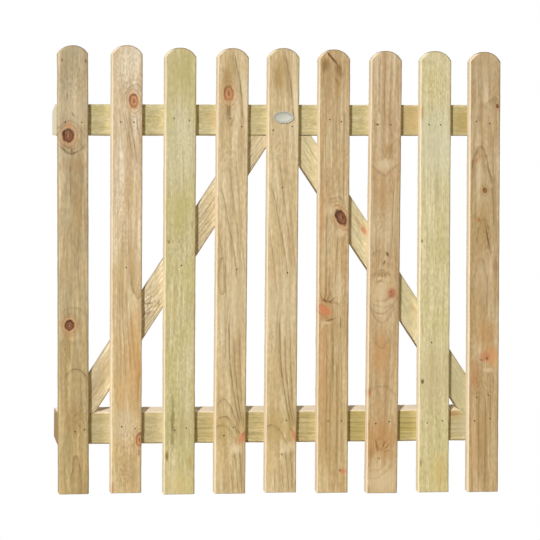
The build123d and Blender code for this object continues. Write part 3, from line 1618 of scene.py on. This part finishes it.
PICKET_1 = Timber(
    srgb(213, 192, 150), srgb(158, 132, 88), GREY, Log(-9, 44, 0.01, 0.055, 8, 12, 0.35), 1, 0.45,
    knots=(
        Knot(-11, 719, 11.5, 1.2, 0, KnotKind.DEAD, 14), Knot(-9, 339.5, 9.6, 1.1, 0, KnotKind.DEAD, 12),
    ),
    stains=(
        Stain(2, 775, 40, 50, srgb(208, 191, 156), 0.4), Stain(0, 876, 34, 50, srgb(172, 159, 127), 0.45),
        Stain(-10, 740, 9, 8, srgb(206, 140, 84), 0.55), Stain(-9, 318, 6, 8, srgb(200, 142, 86), 0.5),
        Stain(5, 575, 10, 130, srgb(166, 132, 82), 0.55), Stain(-9, 290, 3, 26, srgb(150, 122, 78), 0.5),
        Stain(-23, 870, 2.2, 4, DARK, 0.85), Stain(24.6, 868, 2.2, 4, DARK, 0.75),
        Stain(-13, 798, 2, 10, srgb(130, 106, 66), 0.6),
        Stain(-1.6, 762, 2.2, 7, srgb(120, 96, 58), 0.65, 0.5),
        Stain(2, 152, 24, 40, srgb(168, 134, 82), 0.5), Stain(0, 660, 34, 20, srgb(164, 130, 84), 0.45),
        Stain(-4, 686, 5, 8, srgb(120, 92, 56), 0.6),
    ),
    arches=(
        Arch(-3, 683, 26, -17, 2.4, 0.7, 1.05, 1.15), Arch(-2, 692, 15, -7, 1.4, 0.5),
        Arch(-8, 752, 22, 18, 1.1, 0.4), Arch(-3, 376, 24, 12, 1.1, 0.45, 1, 1.5),
        Arch(3.6, 251, 13, 6, 1.1, 0.6, 1.8, 2), Arch(4, 232, 18, 12, 1, 0.15),
        Arch(3.6, 78, 13, 66, 1.5, 0.55, 1.1, 1.1, 0.4),
    ),
    lines=(
        Line(-7, 620, 44, -2, 0, 1.2, 0.55, 6), Line(17, 610, 60, 2, 1, 1, 0.4, -6),
        Line(8, 470, 66, 0, 1, 1.2, 0.45, 6), Line(-17, 560, 130, 0, 3, 1, 0.25, 6),
    ),
    rough=(Rough(0, 830, 30, 70, 0.5), Rough(8, 150, 26, 40, 0.6), Rough(-14, 290, 14, 30, 0.5)),
    cast=1, side_highlight=0.15, pale_band=1.2,
)
PICKET_2 = Timber(
    srgb(233, 217, 184), srgb(188, 156, 110), srgb(212, 184, 136), Log(8, 36, -0.02, -0.05, 9, 16, 0.32), 2,
    0.5,
    knots=(Knot(13, 788, 8.8, 1.65, 0.1, KnotKind.LIVE, 12), Knot(27, 107, 7.5, 1.8, 0, KnotKind.LIVE, 12)),
    stains=(
        Stain(0, 440, 50, 74, srgb(188, 162, 111), 0.52), Stain(0, 45, 50, 52, srgb(172, 146, 106), 0.4),
        Stain(14, 290, 18, 110, srgb(206, 160, 98), 0.55), Stain(24, 240, 7, 60, srgb(204, 146, 84), 0.5),
        Stain(-4, 440, 3, 50, PALE, 0.7), Stain(-29, 8, 6, 16, srgb(176, 104, 60), 0.75),
        Stain(26, 84, 3, 14, srgb(130, 84, 50), 0.6), Stain(-4, 860, 30, 46, srgb(224, 210, 184), 0.5),
        Stain(2, 600, 14, 44, srgb(196, 158, 108), 0.4), Stain(4, 210, 36, 160, srgb(194, 148, 92), 0.3),
        Stain(-6, 134, 30, 44, srgb(208, 192, 160), 0.65),
    ),
    arches=(
        Arch(23, 392, 19, -57, 1.4, 0.65, 1.2, 0.5, 0.5), Arch(14, 822, 17, 14, 1.1, 0.5),
        Arch(13, 832, 24, 16, 1, 0.35), Arch(-4, 92, 24, -10, 1.2, 0.2),
    ),
    lines=(
        Line(-2, 725, 44, -7, 0, 1.2, 0.5, 5), Line(4, 715, 54, -9, 0, 1.2, 0.5, 5),
        Line(12, 710, 52, -9, 0, 1.3, 0.55, 6), Line(22, 730, 30, -5, 0, 1.2, 0.5, 5),
        Line(-13, 730, 50, -3, 0, 1, 0.35, 5), Line(2, 540, 70, 0, 1, 1.2, 0.4, 5),
        Line(-20, 330, 120, 1, 1, 1, 0.35, 5), Line(-14, 320, 110, -3, 1, 1.1, 0.4, 5),
        Line(-7, 330, 110, -5, 1, 1.1, 0.45, 5), Line(2, 330, 90, -6, 2, 1.2, 0.5, 6),
        Line(11, 310, 70, -6, 2, 1.2, 0.45, 6), Line(24, 200, 50, 0, 2, 1.2, 0.45, -6),
    ),
    rough=(
        Rough(0, 852, 40, 64, 0.6), Rough(-10, 560, 26, 110, 0.45), Rough(12, 740, 14, 26, 0.5),
        Rough(0, 110, 34, 60, 0.55), Rough(-8, 36, 24, 40, 0.7),
    ),
    cast=1,
)
PICKET_3 = Timber(
    srgb(214, 203, 164), srgb(184, 168, 116), GREEN, Log(-120, 60, 0.01, 0, 7, 12, 0.22), 3, 0.8,
    stains=(
        Stain(0, 705, 50, 110, srgb(210, 205, 178), 0.4), Stain(4, 134, 44, 46, srgb(175, 158, 105), 0.35),
        Stain(-14.5, 144, 4.5, 66, srgb(128, 120, 76), 0.7), Stain(-24.5, 510, 4, 6, BROWN, 0.8),
        Stain(-26, 78, 4, 12, srgb(136, 106, 54), 0.85), Stain(21.7, 64, 5, 18, srgb(180, 152, 84), 0.6),
        Stain(8, 690, 18, 70, srgb(214, 206, 168), 0.6), Stain(-12, 380, 6, 60, srgb(206, 184, 118), 0.5),
        Stain(0, 560, 30, 60, srgb(186, 176, 116), 0.4), Stain(24, 545, 3, 10, srgb(160, 138, 80), 0.6),
        Stain(0, 20, 34, 40, srgb(212, 192, 132), 0.5), Stain(0, 850, 34, 60, srgb(184, 172, 112), 0.45),
    ),
    arches=(Arch(2, 838, 14, -34, 1.3, 0.15),),
    lines=(Line(6, 650, 60, -3, 0, 1.2, 0.25, 6), Line(-12, 370, 60, 0, 1, 1, 0.4, 5)),
    rough=(
        Rough(0, 700, 34, 120, 0.35), Rough(-14, 130, 12, 70, 0.6), Rough(0, 300, 34, 160, 0.35),
        Rough(0, 500, 34, 80, 0.4),
    ),
)
HONEY = Timber(
    srgb(222, 204, 166), srgb(180, 150, 102), srgb(203, 180, 132), Log(-70, 46, -0.1, 0.02, 10, 16, 0.28),
    4, 0.5,
    stains=(
        Stain(0, 134, 50, 44, srgb(180, 154, 86), 0.4), Stain(0, 385, 44, 100, srgb(219, 208, 180), 0.25),
        Stain(-14, 838, 11, 30, srgb(162, 128, 78), 0.6), Stain(-20, 60, 14, 40, srgb(214, 184, 128), 0.4),
        Stain(23, 800, 7, 90, srgb(235, 218, 182), 0.65, 0.06),
        Stain(-6, 852, 16, 44, srgb(176, 146, 96), 0.45), Stain(12, 88, 16, 10, srgb(232, 214, 176), 0.5),
    ),
    lines=(
        Line(13.5, 825, 78, -11.5, -4, 1.6, 0.65, -9), Line(4, 850, 50, -7, -2, 1, 0.3, -6),
        Line(-4, 530, 110, -21, -5, 1.3, 0.55, -9), Line(6, 565, 125, -16.5, -1, 1.2, 0.45, -8),
        Line(17, 560, 130, -11, 0, 1.1, 0.35, -7), Line(-19, 470, 80, -10, 0, 1.1, 0.4, -7),
        Line(0, 248, 125, -14, 10, 1.6, 0.7, -9), Line(11, 225, 100, -11, 6, 1.6, 0.65, -8),
        Line(20, 230, 105, -6, 3, 1.5, 0.55, -7), Line(-11, 330, 70, 4, 3, 1.1, 0.35, -7),
        Line(22, 44, 50, -3, 0, 1.4, 0.6, 7), Line(13, 42, 48, -5, 0, 1.4, 0.6, 7),
        Line(3, 30, 32, -3, 0, 1.3, 0.5, 7), Line(-14, 26, 28, -1, 0, 1.2, 0.4, 7),
    ),
    rough=(Rough(-8, 690, 24, 50, 0.4), Rough(-2, 90, 28, 40, 0.35), Rough(-22, 310, 12, 50, 0.35)),
    cast=0.25,
)
PICKET_4 = replace(
    HONEY,
    knots=(Knot(-9.5, 808, 10, 1.6, 0.06, KnotKind.LIVE, 12),),
    stains=HONEY.stains + (
        Stain(-10, 772, 7, 22, srgb(126, 94, 54), 0.65), Stain(-4, 750, 5, 14, BROWN, 0.45, -0.5),
        Stain(24, 113, 9, 17, SALMON, 0.85, -0.4), Stain(27, 122, 3, 8, srgb(170, 92, 62), 0.6, -0.4),
        Stain(18, 124, 2, 8, BROWN, 0.6, 0.7), Stain(10, 92, 12, 10, PALE, 0.5),
    ),
    arches=(
        Arch(-16.3, 191, 20, 25, 1.3, 0.65, 0.8, 1.8), Arch(-16.3, 158, 20, 15, 1.3, 0.65, 0.8, 1.7),
        Arch(-16.3, 139, 20, 16, 1.3, 0.6, 0.8, 1.6), Arch(-20.3, 476, 9, 37, 1.2, 0.55, 1.1, 1.1, 0.2),
        Arch(-20.6, 403, 9, -37, 1.2, 0.5, 1.1, 1.1, 0.2),
    ),
)
PICKET_5 = replace(
    HONEY, seed=5,
    stains=HONEY.stains + (
        Stain(0, 845, 44, 50, srgb(180, 152, 99), 0.35), Stain(-16, 440, 12, 20, srgb(216, 186, 146), 0.5),
        Stain(27, 117, 6, 16, SALMON, 0.85, 0.2), Stain(20, 128, 2, 9, BROWN, 0.6, 0.6),
        Stain(16, 96, 14, 9, PALE, 0.5),
    ),
    arches=(Arch(-17.7, 137, 18, 14, 1.3, 0.65, 0.8, 1.9), Arch(8, 150, 10, 8, 1.1, 0.4)),
)
PICKET_6 = Timber(
    srgb(219, 199, 158), srgb(168, 134, 88), srgb(197, 164, 116), Log(95, 42, 0.012, 0, 8, 12, 0.4), 6, 0.6,
    knots=(
        Knot(15, 559, 10, 1.7, 0.5, KnotKind.DEAD, 14), Knot(-22, 371.5, 10, 1.4, 0.8, KnotKind.FAINT, 6),
    ),
    stains=(
        Stain(0, 850, 46, 60, srgb(166, 134, 84), 0.5), Stain(-21, 374, 12, 15, SALMON, 0.55, 0.8),
        Stain(-15, 369.5, 15, 9, srgb(208, 128, 84), 0.65, -0.5),
        Stain(-17, 357, 12, 4, srgb(176, 130, 78), 0.6, -0.15),
        Stain(0, 150, 44, 150, srgb(178, 150, 98), 0.3), Stain(8, 332, 40, 40, srgb(168, 140, 90), 0.35),
        Stain(21, 44, 9, 7, srgb(204, 130, 96), 0.85), Stain(15, 46, 4, 3, srgb(130, 76, 46), 0.75, 0.5),
        Stain(-25, 398, 2.4, 14, BROWN, 0.6, 0.4), Stain(-11, 398, 2.4, 14, BROWN, 0.6, -0.5),
        Stain(-2, 393, 2.4, 15, srgb(120, 88, 52), 0.6, -0.9), Stain(-7, 884, 2.6, 26, DARK, 0.9, 0.76),
        Stain(2, 872, 1.8, 26, srgb(120, 88, 52), 0.7, 0.76),
        Stain(-20, 868, 10, 16, srgb(134, 98, 56), 0.7), Stain(9, 858, 9, 18, srgb(134, 98, 56), 0.65, 0.3),
        Stain(3, 838, 4, 12, BROWN, 0.6, 0.5), Stain(-10, 575, 16, 16, PALE, 0.5),
        Stain(14, 528, 10, 12, PALE, 0.55), Stain(-21, 262, 6, 120, RUST, 0.6),
        Stain(-24, 560, 5, 90, RUST, 0.4), Stain(-18, 398, 2.4, 14, BROWN, 0.6, 0),
        Stain(-14, 390, 16, 4, srgb(122, 84, 50), 0.65, -0.3),
        Stain(-6, 352, 13, 2.8, srgb(110, 80, 46), 0.7, 0.3), Stain(-16, 346, 14, 4, PALE, 0.5),
        Stain(6, 386, 10, 4, BROWN, 0.55, -0.6), Stain(-1, 270, 3.4, 80, srgb(134, 106, 64), 0.65),
        Stain(15, 346, 2, 14, srgb(120, 90, 54), 0.6), Stain(18, 560, 3.4, 5, DARK, 0.8),
        Stain(10, 566, 2.8, 5, DARK, 0.7), Stain(10, 420, 16, 40, PALE, 0.45),
    ),
    arches=(Arch(6, 600, 22, 16, 1.2, 0.4, 1.3, 0.8), Arch(6, 614, 26, 20, 1, 0.2, 1.2, 0.6)),
    lines=(
        Line(-16, 480, 110, 1, 2, 1.3, 0.5, 6), Line(-8, 470, 90, 2, 1, 1.1, 0.4, 6),
        Line(4, 460, 70, 3, 1, 1.3, 0.5, 6), Line(-18, 720, 120, 0, 0, 1.1, 0.35, 7),
        Line(-4, 710, 110, 1, 0, 1.1, 0.35, 7), Line(10, 700, 110, 1, 0, 1.1, 0.35, 7),
        Line(20, 690, 100, 1, 1, 1.1, 0.3, 7), Line(-14, 190, 140, 0, 0, 1.3, 0.4, 7),
        Line(-6, 160, 120, 0, 0, 1.2, 0.35, 7), Line(8, 150, 140, 0, 0, 1.2, 0.4, 7),
        Line(17, 190, 130, 0, 1, 1.1, 0.35, 7),
    ),
    rough=(Rough(0, 620, 30, 60, 0.3), Rough(-16, 396, 16, 12, 0.8), Rough(16, 400, 14, 40, 0.4)),
    cast=0.4,
)
PICKET_7 = Timber(
    srgb(215, 195, 158), srgb(168, 134, 90), srgb(193, 159, 114), Log(0, 34, 0, -0.045, 8, 18, 0.32), 7,
    0.6,
    knots=(Knot(15.2, 408, 9, 1.15, 0, KnotKind.FAINT, 12),),
    stains=(
        Stain(0, 548, 46, 56, srgb(206, 190, 156), 0.35),
        Stain(7, 699, 12, 17, srgb(170, 138, 90), 0.7, 0.3),
        Stain(-3, 668, 22, 16, srgb(216, 198, 162), 0.7), Stain(-6, 600, 19, 56, srgb(186, 148, 102), 0.55),
        Stain(-4, 404, 34, 60, srgb(222, 200, 160), 0.5), Stain(15.6, 408, 13, 15, srgb(182, 126, 92), 0.7),
        Stain(16.5, 405, 7, 10, srgb(162, 102, 76), 0.6, -0.3),
        Stain(15, 412, 6, 2.6, srgb(128, 80, 56), 0.65, 0.5), Stain(6.3, 487, 3, 7, DARK, 0.8, 0.5),
        Stain(-1, 470, 2.6, 6, DARK, 0.7, -0.4), Stain(-18, 751, 8, 2.4, srgb(110, 84, 46), 0.6),
        Stain(-4, 446, 18, 6, BROWN, 0.5), Stain(-10, 432, 12, 4, BROWN, 0.45, 0.3),
        Stain(-4, 284, 20, 60, srgb(198, 150, 98), 0.55), Stain(-1, 112, 42, 50, srgb(184, 138, 84), 0.75),
        Stain(-30, 205, 7, 12, srgb(170, 106, 62), 0.85),
        Stain(-12, 97, 4, 16, srgb(130, 92, 52), 0.6, 0.2),
        Stain(3, 100, 2.2, 10, srgb(124, 88, 50), 0.6, -0.5),
        Stain(9, 95, 2.2, 10, srgb(124, 88, 50), 0.6, -0.8),
        Stain(9, 86, 2.2, 9, srgb(124, 88, 50), 0.5, -1.2), Stain(-22, 84, 9, 16, srgb(160, 114, 62), 0.5),
        Stain(-6.6, 71, 2.4, 3, DARK, 0.7), Stain(0, 28, 44, 38, srgb(214, 194, 154), 0.7),
        Stain(20, 600, 6, 80, srgb(206, 184, 136), 0.5),
    ),
    arches=(
        Arch(7, 680, 13, -14, 1, 0.3), Arch(22, 724, 12, 24, 1.1, 0.4),
        Arch(-12, 495, 14, 10, 1.5, 0.35, 1.2, 0.6), Arch(-8, 455, 16, 8, 1.6, 0.3),
        Arch(-9, 392, 22, -8, 2, 0.34, 0.8, 1.4), Arch(-2, 379, 26, -13, 1.8, 0.27),
        Arch(-6, 365, 24, -18, 2, 0.34), Arch(-4, 347, 21, -22, 2, 0.32), Arch(-4, 297, 14, -14, 2, 0.3),
        Arch(-6, 220, 26, 14, 2.2, 0.25), Arch(-18, 48, 22, -10, 1.6, 0.2, 0.6, 1.6),
        Arch(-18, 30, 24, -12, 1.6, 0.18, 0.6, 1.7),
    ),
    lines=(
        Line(-16, 656, 13, -15, 2, 3.2, 0.26, 9), Line(11, 657, 14, 15, 2, 3.2, 0.26, -9),
        Line(-15, 830, 66, 0, 0, 1, 0.45, 5), Line(-4, 820, 72, 0, 1, 1, 0.45, 5),
        Line(8, 810, 76, 1, 1, 1, 0.45, 5), Line(18, 800, 70, 2, 1, 1, 0.4, 5),
        Line(16, 560, 90, 3, 1, 1.2, 0.45, -7), Line(-24, 600, 60, 0, 0, 1, 0.3, 5),
        Line(12, 270, 60, 4, 0, 1, 0.3, -7),
    ),
    rough=(Rough(-8, 556, 22, 46, 0.5), Rough(-6, 440, 26, 24, 0.7), Rough(-2, 100, 24, 26, 0.6)),
    cast=0.35, pale_band=3.4,
)
PICKET_8 = Timber(
    srgb(221, 211, 170), srgb(194, 178, 130), GREEN, Log(-90, 90, 0.006, 0, 6, 10, 0.22), 8, 0.55,
    stains=(
        Stain(0, 715, 50, 110, srgb(207, 208, 184), 0.4), Stain(0, 235, 44, 90, srgb(190, 171, 132), 0.45),
        Stain(-27, 513, 3, 5, DARK, 0.7), Stain(-25, 226.9, 4, 6, srgb(108, 84, 40), 0.9),
        Stain(-27, 60.4, 3, 9, BROWN, 0.75), Stain(-29, 777, 5, 20, srgb(186, 142, 84), 0.75),
        Stain(2, 620, 6, 50, srgb(180, 170, 132), 0.6), Stain(12, 40, 20, 50, srgb(206, 180, 112), 0.55),
        Stain(-8, 790, 3, 14, srgb(164, 148, 92), 0.5), Stain(0, 820, 30, 60, srgb(206, 192, 136), 0.4),
        Stain(-26, 340, 2.4, 40, srgb(168, 146, 84), 0.6, 0.05),
    ),
    lines=(
        Line(-12, 140, 90, 0, 0, 1, 0.3, 5), Line(4, 160, 100, 2, 0, 1, 0.3, 5),
        Line(16, 60, 60, 4, 0, 1.1, 0.35, 5), Line(-16, 680, 70, 0, 0, 1, 0.2, 5),
    ),
    rough=(
        Rough(0, 830, 32, 70, 0.5), Rough(0, 190, 32, 160, 0.15), Rough(0, 480, 32, 90, 0.2),
        Rough(0, 760, 26, 24, 0.4),
    ),
    cast=0.3, pale_band=3.4,
)
PICKET_9 = Timber(
    srgb(216, 195, 157), srgb(160, 130, 86), srgb(182, 152, 104), Log(-9, 40, 0.01, 0.045, 9, 14, 0.35), 9,
    0.6,
    knots=(
        Knot(26, 789, 3.2, 1.3, 0.6, KnotKind.DEAD, 8), Knot(0.5, 617.5, 4.4, 1.2, 0, KnotKind.DEAD, 10),
        Knot(-11, 556.5, 3.6, 1.2, 0, KnotKind.LIVE, 8),
    ),
    stains=(
        Stain(0, 565, 46, 95, srgb(155, 127, 62), 0.3), Stain(0, 228, 46, 60, srgb(165, 134, 92), 0.35),
        Stain(-17, 679, 4, 8, srgb(206, 132, 84), 0.7), Stain(-10, 690, 8, 14, srgb(196, 156, 100), 0.5),
        Stain(-10, 650, 10, 20, srgb(208, 186, 158), 0.5),
        Stain(8, 516, 2.2, 44, srgb(116, 86, 50), 0.75, 0.2),
        Stain(13, 282, 22, 22, srgb(200, 146, 98), 0.7),
        Stain(5, 277, 13, 14, srgb(184, 120, 86), 0.62, 0.4),
        Stain(22, 560, 6, 110, srgb(154, 122, 76), 0.35), Stain(0, 120, 44, 130, srgb(172, 142, 92), 0.3),
        Stain(7, 274, 4, 4, srgb(120, 72, 44), 0.75), Stain(-4, 270, 5, 3, srgb(150, 96, 60), 0.6, -0.5),
        Stain(22, 272, 12, 24, srgb(210, 156, 104), 0.6), Stain(-18, 240, 10, 40, srgb(186, 130, 84), 0.55),
        Stain(6, 326, 28, 34, srgb(184, 140, 88), 0.55), Stain(10, 250, 14, 6, PALE, 0.55),
        Stain(0, 860, 34, 50, srgb(180, 162, 130), 0.4), Stain(18, 800, 8, 16, srgb(160, 132, 92), 0.55),
        Stain(24, 462, 8, 22, srgb(150, 112, 70), 0.5), Stain(0, 440, 20, 60, srgb(204, 182, 146), 0.4),
        Stain(-18, 90, 8, 80, srgb(206, 160, 110), 0.45), Stain(2, 130, 8, 100, srgb(168, 138, 86), 0.45),
    ),
    arches=(
        Arch(-9, 707, 17, 40, 2, 0.6, 1.4, 1.75, 0.25), Arch(-9, 690, 15, 44, 1.2, 0.2),
        Arch(18, 806, 12, 10, 1.3, 0.45), Arch(-8, 477, 12, 30, 1.3, 0.4), Arch(-2, 560, 14, 40, 1.2, 0.4),
    ),
    lines=(
        Line(18, 640, 110, -1, 1, 1.3, 0.45, 6), Line(-19, 600, 70, -1, 1, 1.1, 0.3, 6),
        Line(6, 400, 50, 1, 0, 1.2, 0.35, 6), Line(-10, 110, 100, 0, 0, 1.2, 0.4, 6),
        Line(4, 100, 100, 1, 0, 1.3, 0.45, 7), Line(15, 110, 110, 1, 0, 1.1, 0.35, 6),
        Line(-20, 780, 70, 0, 0, 1, 0.3, 6),
    ),
    rough=(Rough(12, 830, 18, 40, 0.5), Rough(6, 520, 16, 50, 0.5), Rough(0, 220, 30, 40, 0.5)),
    cast=0.35, pale_band=4.4, side_highlight=0.65,
)
TOP_RAIL = Timber(
    srgb(214, 204, 162), srgb(197, 183, 133), srgb(204, 192, 140), Log(-60, 40, 0, 0.01, 7, 12, 0.25), 11,
    0.6,
    stains=(
        Stain(0, 330, 24, 30, srgb(206, 172, 124), 0.5), Stain(0, 732, 50, 60, srgb(204, 171, 110), 0.5),
        Stain(0, 855, 40, 50, srgb(176, 153, 86), 0.75), Stain(-10, 560, 8, 60, srgb(212, 188, 136), 0.4),
    ),
    rough=(Rough(0, 200, 34, 120, 0.4), Rough(0, 600, 34, 200, 0.3)),
    end=srgb(244, 238, 222), side_highlight=0.2, pale_band=1.6,
)
BOTTOM_RAIL = Timber(
    srgb(222, 209, 164), srgb(184, 164, 106), srgb(208, 191, 134), Log(-50, 30, 0, 0.01, 7.5, 12, 0.6), 12,
    0.5,
    stains=(
        Stain(0, 145, 60, 150, srgb(197, 186, 151), 0.5), Stain(0, 311, 60, 50, srgb(182, 164, 108), 0.3),
        Stain(0, 660, 60, 130, srgb(182, 166, 90), 0.6), Stain(0, 860, 44, 48, srgb(192, 186, 156), 0.75),
        Stain(-24, 826, 8, 16, srgb(190, 142, 88), 0.6),
    ),
    lines=(
        Line(-8, 560, 300, 2, 3, 1.5, 0.4, 5), Line(2, 540, 320, 3, 3, 1.5, 0.4, 5),
        Line(12, 560, 280, 2, 3, 1.4, 0.35, 5), Line(-18, 580, 240, 2, 2, 1.3, 0.35, 5),
    ),
    rough=(Rough(0, 170, 34, 160, 0.4), Rough(0, 880, 34, 40, 0.5)),
    # The rail's top face takes the full paler paint: painted highlight of the light from above.
    side_highlight=1, pale_band=1.6, end=srgb(160, 128, 84),
)
LEFT_BRACE = Timber(
    srgb(236, 223, 190), srgb(176, 152, 108), srgb(214, 195, 152), Log(-40, 50, 0.02, 0, 8, 12, 0.25), 13,
    0.5,
    stains=(
        Stain(-2, 258, 26, 36, srgb(220, 200, 162), 0.5),
        Stain(-14, 268, 4, 11, srgb(248, 240, 222), 0.85, 0.6),
        Stain(2, 274, 3.4, 12, srgb(248, 240, 222), 0.85, -0.5),
        Stain(-4, 250, 3.4, 10, srgb(246, 236, 216), 0.85, 0.9),
        Stain(10, 256, 3.4, 11, srgb(244, 232, 208), 0.8, -0.8),
        Stain(-10, 244, 3.4, 10, srgb(146, 108, 70), 0.75, 0.4),
        Stain(6, 242, 3.4, 11, srgb(142, 104, 66), 0.75, -0.4),
        Stain(-19, 254, 3.4, 9, srgb(146, 108, 70), 0.7),
        Stain(14, 272, 3, 10, srgb(150, 112, 72), 0.7, 0.5),
        Stain(-1, 262, 2.4, 8, srgb(128, 92, 56), 0.75, -0.9),
    ),
    rough=(Rough(-7, 254, 24, 44, 1.4), Rough(0, 520, 40, 150, 0.5)),
    surface=Surface.SAWN, side_highlight=0.4,
)
RIGHT_BRACE = Timber(
    srgb(227, 216, 177), srgb(211, 197, 154), srgb(219, 206, 163), Log(50, 60, 0, 0.01, 8, 10, 0.25), 14,
    0.5,
    stains=(
        Stain(0, 20, 70, 170, srgb(186, 179, 138), 0.65), Stain(0, 290, 70, 90, srgb(196, 189, 149), 0.35),
        Stain(11, 436, 7, 17, srgb(208, 138, 98), 0.8), Stain(10, 462, 4, 16, srgb(190, 140, 96), 0.5),
        Stain(-8, 500, 8, 40, srgb(214, 178, 132), 0.5), Stain(8, 240, 8, 20, srgb(208, 178, 120), 0.45),
    ),
    lines=(Line(10, 640, 40, 2, 0, 1.3, 0.6, 6), Line(-4, 470, 60, 4, 0, 1.2, 0.4, 6)),
    rough=(Rough(0, 240, 36, 160, 0.2), Rough(0, 60, 36, 60, 0.2)),
    side_highlight=0.4,
)

PICKETS: tuple[tuple[Timber, Setting, tuple[tuple[float, float], ...]], ...] = (
    (PICKET_1, Setting(-2.4, 6.6, 2.8, -2.8), ((-18, 747), (18.6, 747.3), (2.5, 126.6), (20.4, 128.6))),
    (
        PICKET_2, Setting(-0.6, 2.5, 4, -0.8),
        ((-15.2, 745.4), (11.9, 747), (-0.9, 453.8), (-9.7, 132.9), (16.9, 130.9)),
    ),
    (
        PICKET_3, Setting(2.1, 1.6, 0.1, 0.2),
        ((-11.9, 756.7), (17.7, 754.7), (1.3, 463.1), (-10.5, 131.2), (14.5, 135.2)),
    ),
    (
        PICKET_4, Setting(2, -1.5, 0.3, 0.5),
        ((-4.3, 757.7), (19.2, 743.8), (8, 454.4), (-14.1, 119.1), (7.5, 133.2)),
    ),
    (
        PICKET_5, Setting(0.4, -1.2, 1.3, 0.9),
        ((-21.7, 735), (18.7, 741.1), (-1, 616.5), (8.8, 445.6), (2.2, 80), (9.1, 144.8)),
    ),
    (PICKET_6, Setting(0.4, 1.4, -0.5, 1), ((-8.5, 756.4), (15.2, 754.2), (-11.6, 145.4), (17.3, 144.6))),
    (
        PICKET_7, Setting(-0.1, -3.4, -2.4, 1.5),
        ((-18.2, 751.4), (11.8, 750.5), (-14.1, 143.3), (14.8, 145.8)),
    ),
    (
        PICKET_8, Setting(-0.5, 1.7, -1.8, 1.3),
        ((-16, 748.2), (10, 751.4), (-4.6, 306.5), (-15.1, 141.6), (18, 144.9)),
    ),
    (
        PICKET_9, Setting(-2.9, 2.5, -2.4, 1.8),
        ((-16.8, 757.4), (11.4, 753.5), (-16.1, 194.5), (10.3, 198.4), (-16.6, 147.3), (13, 148.1)),
    ),
)


def main() -> None:
    """Builds the gate and its stage in order."""
    logging.basicConfig(level=logging.INFO, format="%(name)s: %(message)s")
    noise.seed_set(WEAR_SEED)
    shelf = EffectShelf()
    # Dark paint for the inside of the nail holes: painted shade.
    hole = plain_material("nail_hole_shade", srgb(70, 50, 30), 0.9)
    pickets = [
        Picket(f"picket_{number}", timber, Slot.PICKET, nails, setting)
        for number, (timber, setting, nails) in enumerate(PICKETS, start=1)
    ]
    boards: list[Board] = [
        *pickets,
        Rail("top_rail", TOP_RAIL, Slot.RAIL, weathered_up=True, tilt_mm=4.4, start_mm=-4.7),
        Rail("bottom_rail", BOTTOM_RAIL, Slot.RAIL, start_mm=2.2, lift_mm=9.0),
        Brace("left_brace", LEFT_BRACE, Slot.BRACE),
        Brace("right_brace", RIGHT_BRACE, Slot.BRACE, rises_right=False),
    ]
    for board in boards:
        board.build()
        board.dress(shelf, hole)
    Nails([point for picket in pickets for point in picket.sunk]).build()
    OvalPlate(pickets[PLATE_PICKET - 1].place().point(*PLATE_PLACE_MM)).build()
    Studio().build()


if __name__ == "__main__":
    main()
